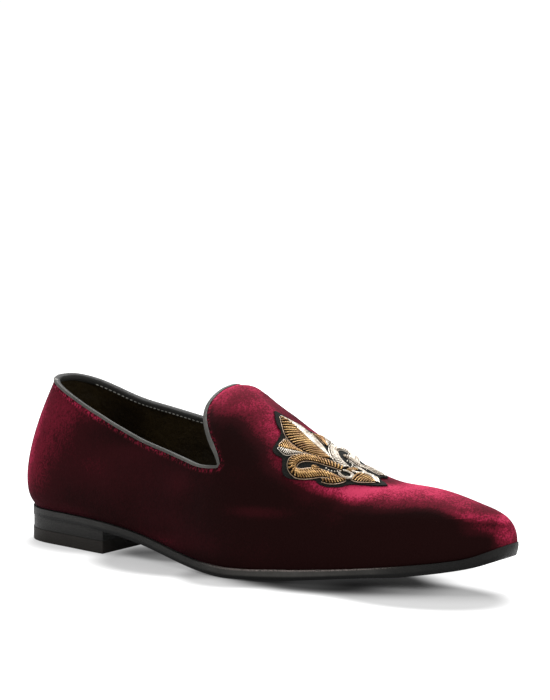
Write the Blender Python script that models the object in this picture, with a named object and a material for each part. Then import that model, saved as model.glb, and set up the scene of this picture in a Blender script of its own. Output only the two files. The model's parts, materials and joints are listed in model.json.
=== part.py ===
"""Velvet evening loafer, right shoe, empty and unbent. Metres, +Z up, toe toward +X, inner side +Y."""

import math

import bmesh
import bpy
from mathutils import Vector

MM = 0.001

# Main sizes in millimetres
FEATHER_LENGTH = 296.0  # lower edge of the upper, heel to toe
HEEL_RADIUS = 32.0  # plan radius of the heel end
TOE_RADIUS = 15.0  # plan radius of the toe end
WALL = 1.9  # velvet, stiffener and lining together
GAP = 0.3  # clearance between neighbouring pieces
SOLE_STEP = 5.0  # from the upper's lower edge down to the tread
SOLE_EDGE = 1.8  # how far the outsole stands out from the upper
TOE_EDGE = 0.7  # the same at the tip of the toe
TOE_EDGE_START = 262.0
HEEL_EDGE = 0.9  # the same at the back of the heel
HEEL_EDGE_END = 40.0
BREAST_X = 69.0  # front face of the heel
TOP_LIFT = 6.7  # height of the rubber top lift
STACK_INSET = 0.3  # heel stack set back from the outsole edge
INSOLE_THICKNESS = 2.4
CORNER_X = 151.0  # where the topline meets the vamp
HEEL_FAN = 36.0  # forward lean of the back seam's upper end
HEEL_FAN_END = 75.0
HEEL_HOLLOW = 7.5  # how far the back seam is drawn in between its bulge and its upper end
TOE_FAN = 39.0  # how far the toe's sections lean back to the ridge
TOE_FAN_START = 205.0
TONGUE_BLEND = 70.0  # length over which the tongue's edge fades into plain sections

# Plan of the feather line: x, outer (-Y) and inner (+Y) half-width
PLAN = (
    (28.0, 29.0, 29.0),
    (62.0, 37.0, 29.5),
    (100.0, 43.5, 26.0),
    (135.0, 53.0, 28.0),
    (168.0, 60.5, 33.5),
    (205.0, 52.0, 39.5),
    (240.0, 40.5, 39.0),
    (268.0, 26.5, 29.0),
    (286.0, 15.0, 16.5),
)

# Height of the feather line: x, z
FEATHER = (
    (0.0, 18.8),
    (35.0, 18.2),
    (65.0, 17.4),
    (95.0, 14.0),
    (125.0, 8.4),
    (150.0, 5.5),
    (170.0, 4.8),
    (190.0, 4.8),
    (215.0, 6.3),
    (240.0, 9.0),
    (265.0, 12.3),
    (285.0, 16.2),
    (296.0, 20.0),
)

# Side walls: x, outward lean in degrees at the feather line, length of the straight start
SIDES = (
    (0.0, 48.0, 19.0),
    (20.0, 36.0, 23.0),
    (40.0, 22.0, 28.0),
    (62.0, 10.0, 34.0),
    (80.0, 9.0, 36.0),
    (112.0, 8.0, 38.0),
    (142.0, 8.0, 37.0),
    (170.0, 8.0, 32.0),
    (200.0, 8.0, 26.0),
    (225.0, 8.0, 22.0),
    (245.0, 7.0, 20.0),
    (262.0, 6.0, 19.0),
    (296.0, 3.0, 18.0),
)

# Ridge over the instep: x, z, y, flat half-width of the crown, slope of the crown in degrees
RIDGE = (
    (0.0, 120.0, -1.0, 44.0, 48.0),
    (40.0, 120.0, -2.0, 44.0, 48.0),
    (80.0, 103.0, -4.0, 34.0, 36.0),
    (112.0, 91.5, -6.0, 34.0, 16.0),
    (132.0, 92.0, -8.0, 35.0, 6.0),
    (142.0, 91.2, -9.5, 36.0, 2.0),
    (156.0, 84.2, -10.0, 36.0, 0.0),
    (170.0, 74.2, -10.0, 35.0, 0.0),
    (200.0, 57.9, -9.0, 31.0, 0.0),
    (225.0, 47.9, -6.0, 29.0, 0.0),
    (245.0, 45.8, -3.0, 26.0, 0.0),
    (258.0, 43.2, -1.0, 24.0, 0.0),
)

# Height of the upper's open edge: x, outer side z, inner side z
TOPLINE = (
    (14.0, 89.6, 89.6),
    (24.0, 86.2, 85.4),
    (44.0, 78.7, 77.3),
    (68.0, 69.6, 72.8),
    (95.0, 61.0, 68.2),
    (123.0, 55.9, 63.2),
    (141.0, 53.9, 60.6),
    (151.0, 55.0, 60.2),
)

# Edge of the tongue: share of the way from corner to ridge, distance behind the corner
TONGUE = (
    (0.0, 0.0),
    (0.08, 3.6),
    (0.2, 10.6),
    (0.34, 16.2),
    (0.48, 19.0),
    (0.66, 19.6),
    (0.84, 19.2),
    (1.0, 18.6),
)

# Places of the mesh lines along the foot
QUARTER_LINES = (
    0.0, 1.2, 4.5, 9.5, 16.0, 24.0, 33.0, 44.0, 56.0, 69.0, 83.0, 97.0, 111.0, 124.0, 135.0, 143.0, 148.0,
    151.0,
)
VAMP_LINES = (
    151.0, 154.5, 159.0, 164.5, 170.5, 177.0, 183.5, 190.0, 196.5, 203.0, 209.5, 216.0, 222.5, 229.0, 235.5,
    242.0, 248.5, 255.0, 261.0, 267.0, 272.5, 277.5, 282.0, 286.0, 289.5, 292.3, 294.4, 295.6, 296.0,
)
TONGUE_ROWS = (0.03, 0.09, 0.2, 0.34, 0.48, 0.62, 0.76, 0.88, 1.0)
QUARTER_ROWS = 8

# Lines across the sole pieces
SOLE_LINES = (
    0.0, 0.6, 2.4, 5.4, 9.5, 14.5, 21.0, 29.0, 38.0, 48.0, 58.0, 69.0, 80.0, 90.0, 100.0, 110.0, 120.0, 130.0,
    140.0, 150.0, 160.0, 170.0, 180.0, 190.0, 200.0, 210.0, 220.0, 230.0, 240.0, 250.0, 259.0, 267.0, 274.0,
    280.0, 285.0, 289.0, 292.0, 294.2, 295.5, 296.0,
)
SHARES = (0.0, 0.28, 0.5, 0.72, 1.0)

# Crest on the vamp, measured along the foot from its start and sideways from its axis
CREST_START = 160.5
CREST_AXIS = ((160.0, 3.5), (180.0, 7.1), (200.0, 9.9), (214.0, 10.3), (228.0, 8.5))
SKEW = 0.3  # the far half lies further forward, because the axis turns outward
FELT = (0.4, 1.05)  # lower and upper face above the velvet
BULLION = (1.35, 1.85)
BULLION_CROWN = 0.4

# Felt patch: along, half-width
FELT_EDGE = (
    (1.2, 0.5),
    (5.5, 5.0),
    (9.5, 8.3),
    (12.6, 10.6),
    (13.8, 19.6),
    (14.8, 21.7),
    (17.0, 21.8),
    (20.4, 20.4),
    (22.0, 23.3),
    (23.8, 26.6),
    (26.0, 27.8),
    (29.0, 26.8),
    (33.0, 24.0),
    (37.0, 20.5),
    (40.0, 18.0),
    (42.5, 18.8),
    (46.0, 18.0),
    (49.0, 16.0),
    (52.0, 13.6),
    (54.0, 10.6),
    (56.5, 8.2),
    (61.0, 5.5),
    (66.0, 3.0),
    (69.2, 0.5),
)
FELT_SHARES = (0.0, 0.125, 0.25, 0.375, 0.5, 0.625, 0.75, 0.875, 1.0)

# Raised embroidery as ribbons: along, sideways, half-width
LEAF = (
    (5.0, 0.2, 0.5),
    (8.0, 0.0, 3.6),
    (11.0, 0.0, 6.2),
    (14.0, 0.0, 8.1),
    (17.5, 0.0, 8.8),
    (22.0, 0.0, 8.4),
    (27.0, 0.0, 6.8),
    (31.0, -0.2, 4.7),
    (34.0, -0.4, 2.9),
    (36.8, -0.6, 1.1),
)
SIDE_LEAF = (
    (15.7, 17.9, 0.5),
    (18.0, 15.8, 1.9),
    (20.5, 13.6, 2.5),
    (23.5, 11.4, 1.8),
    (26.2, 9.8, 0.6),
)
SCROLL = (
    (46.0, 2.2, 1.7),
    (40.2, 3.6, 2.0),
    (34.7, 6.4, 1.9),
    (30.7, 9.8, 1.8),
    (28.1, 12.9, 1.9),
    (26.6, 16.2, 2.0),
    (26.4, 19.6, 2.1),
    (27.8, 22.1, 2.2),
    (30.4, 22.5, 2.2),
    (33.4, 20.5, 2.2),
    (36.4, 17.1, 2.4),
    (39.2, 13.9, 2.3),
    (42.7, 11.9, 1.7),
    (45.2, 10.9, 0.8),
)
LOWER_CURL = (
    (42.8, 16.7, 0.5),
    (45.4, 15.1, 1.3),
    (48.0, 12.9, 1.4),
    (50.4, 10.4, 1.2),
    (51.8, 8.4, 0.5),
)
BAND = (
    (50.2, -6.8, 1.0),
    (49.2, -3.6, 1.5),
    (48.8, 0.0, 1.6),
    (49.2, 3.6, 1.5),
    (50.2, 6.8, 1.0),
)
TAIL = (
    (52.8, 0.0, 4.4),
    (55.5, 0.0, 5.8),
    (58.5, -0.3, 5.4),
    (61.5, -0.2, 3.7),
    (64.5, 0.2, 1.6),
    (66.6, 0.4, 0.5),
)

# Collar binding in section: out from the outer face, up from the edge
BINDING = (
    (0.3, -2.6),
    (0.3, 0.3),
    (-WALL - 0.3, 0.3),
    (-WALL - 0.3, -4.6),
    (-WALL - 0.9, -4.6),
    (-WALL - 1.0, 0.4),
    (-WALL - 0.3, 1.0),
    (0.3, 1.0),
    (1.0, 0.4),
    (1.0, -2.6),
)

# Colours and finishes: base colour, roughness, metallic
FINISH = {
    "velvet": ((0.110, 0.006, 0.022), 0.9, 0.0),
    "binding": ((0.045, 0.043, 0.045), 0.6, 0.0),
    "sole": ((0.030, 0.029, 0.029), 0.5, 0.0),
    "stack": ((0.034, 0.032, 0.031), 0.5, 0.0),
    "rubber": ((0.026, 0.023, 0.021), 0.7, 0.0),
    "lining": ((0.022, 0.017, 0.012), 0.6, 0.0),
    "felt": ((0.012, 0.013, 0.012), 0.95, 0.0),
    "gold": ((0.520, 0.330, 0.130), 0.4, 0.8),
    "silver": ((0.780, 0.750, 0.690), 0.4, 0.8),
}


def spline(xs, ys):
    """Natural cubic through the points, held level outside them."""
    count = len(xs)
    steps = [xs[i + 1] - xs[i] for i in range(count - 1)]
    right = [0.0] * count
    upper = [0.0] * count
    for i in range(1, count - 1):
        rise = (ys[i + 1] - ys[i]) / steps[i] - (ys[i] - ys[i - 1]) / steps[i - 1]
        pivot = 2.0 * (steps[i - 1] + steps[i]) - steps[i - 1] * upper[i - 1]
        upper[i] = steps[i] / pivot
        right[i] = (6.0 * rise - steps[i - 1] * right[i - 1]) / pivot
    bend = [0.0] * count
    for i in range(count - 2, 0, -1):
        bend[i] = right[i] - upper[i] * bend[i + 1]

    def value(x):
        x = min(max(x, xs[0]), xs[-1])
        i = 0
        while i < count - 2 and x > xs[i + 1]:
            i += 1
        a = (xs[i + 1] - x) / steps[i]
        b = (x - xs[i]) / steps[i]
        cubic = ((a**3 - a) * bend[i] + (b**3 - b) * bend[i + 1]) * steps[i] ** 2 / 6.0
        return a * ys[i] + b * ys[i + 1] + cubic

    return value


def columns(table):
    """One spline for each column after the first."""
    parts = list(zip(*table))
    return [spline(parts[0], part) for part in parts[1:]]


def straight(table, x):
    """Straight line between the rows of a two-column table."""
    for (x0, y0), (x1, y1) in zip(table, table[1:]):
        if x <= x1:
            share = max(0.0, (x - x0) / (x1 - x0))
            return y0 + (y1 - y0) * share
    return table[-1][1]


# Curves of the last
def rounding(x):
    """Ellipse that closes the plan at both ends, one in the middle and nought at heel and toe."""
    return 2.0 * math.sqrt(max(x * (FEATHER_LENGTH - x), 0.0)) / FEATHER_LENGTH


def plan_curve(column):
    ends = [math.sqrt(r * FEATHER_LENGTH / 2.0) for r in (HEEL_RADIUS, TOE_RADIUS)]
    xs = [0.0] + [row[0] for row in PLAN] + [FEATHER_LENGTH]
    ys = [ends[0]] + [row[column] / rounding(row[0]) for row in PLAN] + [ends[1]]
    return spline(xs, ys)


plan_of = {-1: plan_curve(1), 1: plan_curve(2)}
feather_raw = columns(FEATHER)[0]
side_lean, side_start = columns(SIDES)
ridge_z, ridge_y, crown_width, crown_slope = columns(RIDGE)
top_of = dict(zip((-1, 1), columns(TOPLINE)))
tongue_back = columns(TONGUE)[0]


def feather_z(x):
    """Lower edge of the upper; the forefoot is held level where the tread rests on the floor."""
    return max(feather_raw(x), SOLE_STEP)


def turn_of(x):
    return math.acos(min(max(1.0 - 2.0 * x / FEATHER_LENGTH, -1.0), 1.0))


def plan_point(turn, side):
    x = FEATHER_LENGTH / 2.0 * (1.0 - math.cos(turn))
    return Vector((x, side * plan_of[side](x) * math.sin(turn), 0.0))


def plan_edge(x, side, offset=0.0):
    """Point of the plan outline and its outward direction, moved outward by the offset."""
    turn = turn_of(x)
    along = plan_point(turn + 0.001, side) - plan_point(turn - 0.001, side)
    out = Vector((along.y, -along.x, 0.0)) * -side
    out.normalize()
    return plan_point(turn, side) + out * offset, out


def section(x, side):
    """Four control points of the section that starts at the feather line at x."""
    foot, out = plan_edge(x, side)
    foot.z = feather_z(x)
    toward_toe = min(max((x - TOE_FAN_START) / (FEATHER_LENGTH - TOE_FAN_START), 0.0), 1.0)
    toward_heel = min(max((HEEL_FAN_END - x) / HEEL_FAN_END, 0.0), 1.0)
    xr = x - TOE_FAN * toward_toe**2 + HEEL_FAN * toward_heel**2
    crown = Vector((xr, ridge_y(xr), ridge_z(xr)))
    lean = math.radians(side_lean(x))
    low = foot + side_start(x) * (out * math.sin(lean) + Vector((0.0, 0.0, math.cos(lean))))
    away = Vector((foot.x - crown.x, foot.y - crown.y, 0.0)).normalized()
    slope = math.radians(crown_slope(xr))
    fall = (ridge_z(xr + 0.5) - ridge_z(xr - 0.5)) * away.x * math.cos(slope) - math.sin(slope)
    high = crown + crown_width(xr) * Vector((away.x * math.cos(slope), away.y * math.cos(slope), fall))
    hollow = HEEL_HOLLOW * toward_heel**6
    return foot, low + away * hollow * 0.12, high - away * hollow, crown + away * hollow * 1.05


def on_section(points, t):
    foot, low, high, crown = points
    s = 1.0 - t
    return foot * s**3 + low * (3.0 * s * s * t) + high * (3.0 * s * t * t) + crown * t**3


def top_share(x, side):
    """Share of the section at which the upper's open edge crosses it."""
    points = section(x, side)
    low, high = 0.0, 1.0
    for _ in range(40):
        middle = (low + high) / 2.0
        here = on_section(points, middle)
        if here.z < top_of[side](here.x):
            low = middle
        else:
            high = middle
    return (low + high) / 2.0


class Solid:
    """Welded points and faces of one piece."""

    def __init__(self):
        self.points = []
        self.faces = []
        self.index = {}

    def point(self, p):
        key = (round(p.x, 3), round(p.y, 3), round(p.z, 3))
        if key not in self.index:
            self.index[key] = len(self.points)
            self.points.append(Vector(p))
        return self.index[key]

    def face(self, *corners):
        ring = []
        for corner in corners:
            if corner not in ring:
                ring.append(corner)
        if len(ring) > 2:
            self.faces.append(tuple(ring))

    def grid(self, rows):
        """Quads between neighbouring rows of point numbers."""
        for first, second in zip(rows, rows[1:]):
            for k in range(len(first) - 1):
                self.face(first[k], first[k + 1], second[k + 1], second[k])


solids = []


def keep(name, finish, solid):
    solids.append((name, finish, solid))


# Upper: one hollow shell, open at the collar and underneath
def vamp_rows(corner):
    """Share of the section and distance behind the corner for each row of the vamp."""
    rows = [(corner * j / QUARTER_ROWS, 0.0) for j in range(QUARTER_ROWS + 1)]
    return rows + [(corner + (1.0 - corner) * s, tongue_back(s)) for s in TONGUE_ROWS]


def upper_lines(side):
    """Mesh lines of one side as lists of points, from the feather line upward."""
    quarter = []
    for x in QUARTER_LINES:
        points = section(x, side)
        share = top_share(x, side)
        quarter.append([on_section(points, share * j / QUARTER_ROWS) for j in range(QUARTER_ROWS + 1)])
    rows = vamp_rows(top_share(CORNER_X, side))
    shared = vamp_rows((top_share(CORNER_X, -1) + top_share(CORNER_X, 1)) / 2.0)
    vamp = []
    for x in VAMP_LINES:
        fade = (1.0 - min((x - CORNER_X) / TONGUE_BLEND, 1.0)) ** 2
        ahead = (x - CORNER_X) / (FEATHER_LENGTH - CORNER_X)
        line = []
        for (own, back), (common, _) in zip(rows, shared):
            share = own + (common - own) * ahead
            line.append(on_section(section(x - back * fade, side), share))
        vamp.append(line)
    return quarter, vamp


def upper():
    outer = Solid()
    feet = {}
    rims = {}
    for side in (-1, 1):
        quarter, vamp = upper_lines(side)
        lines = [[outer.point(p) for p in line] for line in quarter]
        outer.grid(lines)
        front = [[outer.point(p) for p in line] for line in vamp]
        outer.grid(front)
        for x, line in list(zip(QUARTER_LINES, lines)) + list(zip(VAMP_LINES, front)):
            feet[line[0]] = (x, side)
        rims[side] = ([line[-1] for line in lines], front[0][QUARTER_ROWS:])
        if side == -1:
            # The two sides run in opposite directions round the foot
            outer.faces = [tuple(reversed(f)) for f in outer.faces]
    normals = [Vector((0.0, 0.0, 0.0)) for _ in outer.points]
    for face in outer.faces:
        ring = [outer.points[i] for i in face]
        across = Vector((0.0, 0.0, 0.0))
        for a, b in zip(ring, ring[1:] + ring[:1]):
            across += (a - ring[0]).cross(b - ring[0])
        for i in face:
            normals[i] += across
    middle = Vector((FEATHER_LENGTH / 2.0, 0.0, 30.0))
    facing = sum((n.normalized().dot(p - middle) for n, p in zip(normals, outer.points)))
    if facing < 0.0:
        outer.faces = [tuple(reversed(f)) for f in outer.faces]
        normals = [-n for n in normals]
    normals = [n.normalized() for n in normals]
    shell = Solid()
    shell.points = list(outer.points)
    count = len(outer.points)
    for i, p in enumerate(outer.points):
        inside = p - normals[i] * WALL
        if i in feet:
            x, side = feet[i]
            inside, _ = plan_edge(x, side, -WALL)
            inside.z = p.z
        shell.points.append(inside)
    shell.faces = list(outer.faces) + [tuple(i + count for i in reversed(f)) for f in outer.faces]
    edges = {}
    for face in outer.faces:
        for a, b in zip(face, face[1:] + face[:1]):
            edges[(a, b)] = True
    for a, b in edges:
        if (b, a) not in edges:
            shell.faces.append((b, a, a + count, b + count))
    keep("upper", "velvet", shell)
    return outer, normals, rims


# Binding: a folded strip that rides over the open edge
def binding(outer, normals, rims):
    quarter_out, tongue_out = rims[-1]
    quarter_in, tongue_in = rims[1]
    loop = list(reversed(quarter_out)) + quarter_in[1:] + tongue_in[1:] + list(reversed(tongue_out))[1:-1]
    solid = Solid()
    rings = []
    for k, i in enumerate(loop):
        p = outer.points[i]
        along = outer.points[loop[(k + 1) % len(loop)]] - outer.points[loop[k - 1]]
        along.normalize()
        n = (normals[i] - along * normals[i].dot(along)).normalized()
        up = along.cross(n)
        rings.append([solid.point(p + n * a + up * b) for a, b in BINDING])
    for first, second in zip(rings, rings[1:] + rings[:1]):
        for k in range(len(BINDING)):
            after = (k + 1) % len(BINDING)
            solid.face(first[k], first[after], second[after], second[k])
    keep("collar_binding", "binding", solid)


# Slabs that follow the plan: outsole, heel and insole
def sole_edge(x):
    toe = min(max((x - TOE_EDGE_START) / (FEATHER_LENGTH - TOE_EDGE_START), 0.0), 1.0)
    heel = min(max((HEEL_EDGE_END - x) / HEEL_EDGE_END, 0.0), 1.0)
    return SOLE_EDGE + (TOE_EDGE - SOLE_EDGE) * toe**2 + (HEEL_EDGE - SOLE_EDGE) * heel**2


def slab(name, finish, lines, offset, low, high, end=None):
    """Solid between two heights over the plan, closed with a flat face at the end line if given."""
    solid = Solid()
    layers = []
    for height in (low, high):
        rows = []
        for x in lines:
            outer_edge, _ = plan_edge(x, -1, offset(x))
            inner_edge, _ = plan_edge(x, 1, offset(x))
            if end is not None and x == lines[-1]:
                outer_edge.x = end
                inner_edge.x = end
            row = []
            for share in SHARES:
                p = outer_edge.lerp(inner_edge, share)
                p.z = height(min(max(p.x, 0.0), FEATHER_LENGTH))
                row.append(solid.point(p))
            rows.append(row)
        layers.append(rows)
        solid.grid(rows)
    bottom, top = layers
    for k in (0, -1):
        solid.grid([[row[k] for row in bottom], [row[k] for row in top]])
    solid.grid([bottom[-1], top[-1]])
    keep(name, finish, solid)


def tread_z(x):
    return feather_z(x) - SOLE_STEP


def stack_edge(x):
    return sole_edge(x) - STACK_INSET


def inside_edge(x):
    return -WALL - 0.5


def sole_pieces():
    heel_lines = [x for x in SOLE_LINES if x < BREAST_X] + [BREAST_X]
    slab("outsole", "sole", SOLE_LINES, sole_edge, tread_z, lambda x: feather_z(x) - GAP)
    stack_top = lambda x: tread_z(x) - GAP
    slab("heel_stack", "stack", heel_lines, stack_edge, lambda x: TOP_LIFT + GAP, stack_top, BREAST_X)
    slab("top_lift", "rubber", heel_lines, sole_edge, lambda x: 0.0, lambda x: TOP_LIFT, BREAST_X)
    slab("insole", "lining", SOLE_LINES, inside_edge, feather_z, lambda x: feather_z(x) + INSOLE_THICKNESS)


# Crest: felt and raised embroidery cut from the upper's own surface
def vamp_point(x, across):
    """Point of the velvet at a distance across from the ridge, outer side counted positive."""
    side = -1 if across >= 0.0 else 1
    points = section(x, side)
    here = on_section(points, 1.0)
    left = abs(across)
    steps = 400
    for k in range(1, steps + 1):
        after = on_section(points, 1.0 - k / steps)
        length = (after - here).length
        if length >= left:
            return here.lerp(after, left / length)
        left -= length
        here = after
    return here


def crest_point(along, sideways, height):
    x = CREST_START + along
    across = straight(CREST_AXIS, x) + sideways
    p = vamp_point(x, across)
    forward = vamp_point(x + 0.4, across) - vamp_point(x - 0.4, across)
    outward = vamp_point(x, across + 0.4) - vamp_point(x, across - 0.4)
    up = outward.cross(forward).normalized()
    if up.z < 0.0:
        up = -up
    return p + up * height


def plate(name, finish, stations, shares, low, high, crown=0.0):
    """Solid over rows of points across each station, raised in the middle by the crown."""
    solid = Solid()
    layers = []
    for height, swell in ((low, 0.0), (high, crown)):
        rows = []
        for (a0, b0), (a1, b1) in stations:
            row = []
            for share in shares:
                along = a0 + (a1 - a0) * share
                sideways = b0 + (b1 - b0) * share
                rise = height + swell * (1.0 - (2.0 * share - 1.0) ** 2)
                row.append(solid.point(crest_point(along, sideways, rise)))
            rows.append(row)
        layers.append(rows)
        solid.grid(rows)
    bottom, top = layers
    for k in (0, -1):
        solid.grid([[row[k] for row in bottom], [row[k] for row in top]])
        solid.grid([bottom[k], top[k]])
    keep(name, finish, solid)


def far_side(point):
    """The same place of the drawing on the inner side of the axis."""
    along, sideways = point
    return along + SKEW * sideways, -sideways


def ribbon(name, finish, table, mirrored=False, steps=3):
    """Raised piece along a curved centre line with a changing half-width."""
    along, sideways, half = columns([(float(k),) + row for k, row in enumerate(table)])
    stations = []
    count = (len(table) - 1) * steps
    for k in range(count + 1):
        t = k / steps
        ahead = Vector((along(t + 0.05) - along(t - 0.05), sideways(t + 0.05) - sideways(t - 0.05)))
        ahead.normalize()
        a, b, w = along(t), sideways(t), max(half(t), 0.4)
        ends = (a - ahead.y * w, b + ahead.x * w), (a + ahead.y * w, b - ahead.x * w)
        stations.append(tuple(map(far_side, ends)) if mirrored else ends)
    plate(name, finish, stations, (0.0, 0.5, 1.0), BULLION[0], BULLION[1], BULLION_CROWN)


def crest():
    rows = []
    for (a0, w0), (a1, w1) in zip(FELT_EDGE, FELT_EDGE[1:]):
        rows.append((a0, w0))
        if a1 - a0 > 3.0:
            rows.append(((a0 + a1) / 2.0, (w0 + w1) / 2.0))
    rows.append(FELT_EDGE[-1])
    stations = [(far_side(row), row) for row in rows]
    plate("crest_felt", "felt", stations, FELT_SHARES, FELT[0], FELT[1])
    ribbon("crest_leaf", "gold", LEAF)
    ribbon("crest_band", "silver", BAND)
    ribbon("crest_tail", "gold", TAIL)
    for word, mirrored, finish in (("outer", False, "gold"), ("inner", True, "silver")):
        ribbon("crest_side_leaf_" + word, finish, SIDE_LEAF, mirrored)
        ribbon("crest_scroll_" + word, finish, SCROLL, mirrored)
        ribbon("crest_lower_curl_" + word, finish, LOWER_CURL, mirrored)


# Objects and materials
def finish_material(piece, finish):
    colour, roughness, metallic = FINISH[finish]
    material = bpy.data.materials.new(piece + "_" + finish)
    material.use_nodes = True
    shader = material.node_tree.nodes["Principled BSDF"]
    shader.inputs["Base Color"].default_value = (*colour, 1.0)
    shader.inputs["Roughness"].default_value = roughness
    shader.inputs["Metallic"].default_value = metallic
    material.diffuse_color = (*colour, 1.0)
    return material


def make_object(name, finish, solid, shift):
    mesh = bpy.data.meshes.new(name)
    mesh.from_pydata([(p - shift) * MM for p in solid.points], [], solid.faces)
    shape = bmesh.new()
    shape.from_mesh(mesh)
    bmesh.ops.recalc_face_normals(shape, faces=shape.faces)
    shape.to_mesh(mesh)
    shape.free()
    mesh.materials.append(finish_material(name, finish))
    item = bpy.data.objects.new(name, mesh)
    bpy.context.scene.collection.objects.link(item)
    triangles = sum(len(f.vertices) - 2 for f in mesh.polygons)
    print(f"{name}: {triangles} triangles")
    return triangles


for item in list(bpy.data.objects):
    bpy.data.objects.remove(item, do_unlink=True)

shell, shell_normals, shell_rims = upper()
binding(shell, shell_normals, shell_rims)
sole_pieces()
crest()

everything = [p for _, _, solid in solids for p in solid.points]
x_values = [p.x for p in everything]
y_values = [p.y for p in everything]
z_values = [p.z for p in everything]
centre = Vector(((min(x_values) + max(x_values)) / 2.0, (min(y_values) + max(y_values)) / 2.0, min(z_values)))
total = sum(make_object(name, finish, solid, centre) for name, finish, solid in solids)
print(f"moved by {-centre.x:.3f}, {-centre.y:.3f}, {-centre.z:.3f} mm; {total} triangles in all")
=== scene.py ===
# %% [markdown]
# A velvet evening loafer, the right shoe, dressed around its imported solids.
# The solids carry the true sizes, so every piece below starts from them: a copy of a solid is smoothed, or a new
# piece is laid on the surface of one. All lengths are in metres, and MM turns a maker's millimetres into them.

# %% Load the solids
import json
import math
from contextlib import contextmanager

import bmesh
import bpy
import numpy as np
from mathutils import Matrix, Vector
from mathutils.bvhtree import BVHTree
from mathutils.kdtree import KDTree

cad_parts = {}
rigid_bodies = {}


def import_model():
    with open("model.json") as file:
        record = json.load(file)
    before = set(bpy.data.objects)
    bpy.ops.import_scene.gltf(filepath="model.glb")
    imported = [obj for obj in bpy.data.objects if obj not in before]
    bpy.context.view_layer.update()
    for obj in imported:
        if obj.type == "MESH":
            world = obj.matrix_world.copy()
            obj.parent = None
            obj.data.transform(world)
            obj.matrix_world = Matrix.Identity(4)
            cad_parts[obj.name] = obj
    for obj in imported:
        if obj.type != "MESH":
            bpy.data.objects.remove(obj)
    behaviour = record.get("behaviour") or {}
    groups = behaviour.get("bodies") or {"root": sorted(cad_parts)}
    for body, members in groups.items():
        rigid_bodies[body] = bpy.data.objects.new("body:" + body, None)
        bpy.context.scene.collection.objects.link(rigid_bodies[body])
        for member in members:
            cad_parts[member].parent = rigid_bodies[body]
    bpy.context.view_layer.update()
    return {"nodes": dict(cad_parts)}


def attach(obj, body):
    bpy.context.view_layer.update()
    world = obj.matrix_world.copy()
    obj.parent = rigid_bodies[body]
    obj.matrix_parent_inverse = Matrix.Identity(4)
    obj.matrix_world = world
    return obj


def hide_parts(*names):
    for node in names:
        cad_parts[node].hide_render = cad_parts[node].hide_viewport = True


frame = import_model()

MM = 0.001
print("solids:", sorted(frame["nodes"]))

# %% [markdown]
# The camera stands at the outer side, a little above the floor, and looks along the shoe from heel to toe.
# A long lens keeps the sole's lines nearly parallel. It could be aimed at the shoe and shifted. Here it is aimed at a
# point above the shoe, so that the shoe sits low in the upright picture with no shift at all.

# %% Camera
IMAGE = (550, 700)  # width and height of the picture in pixels
FOCAL = 2640.0  # focal length in pixels
AZIMUTH, ELEVATION, DISTANCE = math.radians(33.5), math.radians(8.2), 1.4
SIGHT = Vector((1.73, 10.03, 50.0)) * MM  # a point of the shoe
SIGHT_PIXEL = (267, 464)  # where that point shows

back = Vector(
    (math.sin(AZIMUTH) * math.cos(ELEVATION), -math.cos(AZIMUTH) * math.cos(ELEVATION), math.sin(ELEVATION))
)
right = Vector((math.cos(AZIMUTH), math.sin(AZIMUTH), 0.0))
above = back.cross(right)
aim = SIGHT + (right * (IMAGE[0] / 2 - SIGHT_PIXEL[0]) - above * (IMAGE[1] / 2 - SIGHT_PIXEL[1])) * (DISTANCE / FOCAL)

bpy.ops.object.camera_add(location=SIGHT + back * DISTANCE)
camera = bpy.context.object
camera.rotation_euler = (aim - camera.location).to_track_quat("-Z", "Y").to_euler()
camera.data.sensor_fit = "VERTICAL"
camera.data.sensor_height = 36.0
camera.data.lens = FOCAL / IMAGE[1] * camera.data.sensor_height
camera.data.clip_start = 0.05
bpy.context.scene.camera = camera
print(f"lens {camera.data.lens:.1f} mm, {DISTANCE} m from the shoe")

# %% [markdown]
# Pieces are told apart by what is selected, and loading leaves every solid selected. So each step first selects just
# what it works on. Every visit to edit mode goes the same way, so one helper opens it and closes it again. A solid's
# mesh is loose triangles: the copy is merged, and its triangles become quads again, because quads smooth better.


# %% Copies of the solids
QUAD_LIMIT = math.radians(70)  # furthest that two triangles of one quad may bend


def only(*objects):
    """Select these objects and nothing else."""
    bpy.ops.object.select_all(action="DESELECT")
    for item in objects:
        item.select_set(True)
    bpy.context.view_layer.objects.active = objects[0]


@contextmanager
def editing(piece, kind="VERT", action="DESELECT"):
    """Edit mode with points, edges or faces all selected or none."""
    only(piece)
    bpy.ops.object.mode_set(mode="EDIT")
    bpy.ops.mesh.select_mode(type=kind)
    bpy.ops.mesh.select_all(action=action)
    yield bmesh.from_edit_mesh(piece.data)
    bpy.ops.object.mode_set(mode="OBJECT")


def copy_of(node, name):
    """A merged quad copy of a solid, free to be changed."""
    only(frame["nodes"][node])
    bpy.ops.object.duplicate()
    piece = bpy.context.view_layer.objects.active
    for key in list(piece.keys()):
        del piece[key]
    piece.parent = None
    piece.name = piece.data.name = name
    piece.data.materials.clear()
    with editing(piece, action="SELECT"):
        bpy.ops.mesh.customdata_custom_splitnormals_clear()
        bpy.ops.mesh.remove_doubles(threshold=0.01 * MM)
        bpy.ops.mesh.tris_convert_to_quads(face_threshold=QUAD_LIMIT, shape_threshold=QUAD_LIMIT)
    return piece


def places(mesh):
    """All points of a mesh as rows of numbers."""
    rows = np.zeros(len(mesh.vertices) * 3)
    mesh.vertices.foreach_get("co", rows)
    return rows.reshape(-1, 3)


def set_places(mesh, rows):
    mesh.vertices.foreach_set("co", np.asarray(rows, np.float32).ravel())
    mesh.update()


def apply(piece, kind, **settings):
    """Add one modifier and apply it."""
    only(piece)
    modifier = piece.modifiers.new(kind.lower(), kind)
    for key, value in settings.items():
        setattr(modifier, key, value)
    bpy.ops.object.modifier_apply(modifier=modifier.name)


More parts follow.
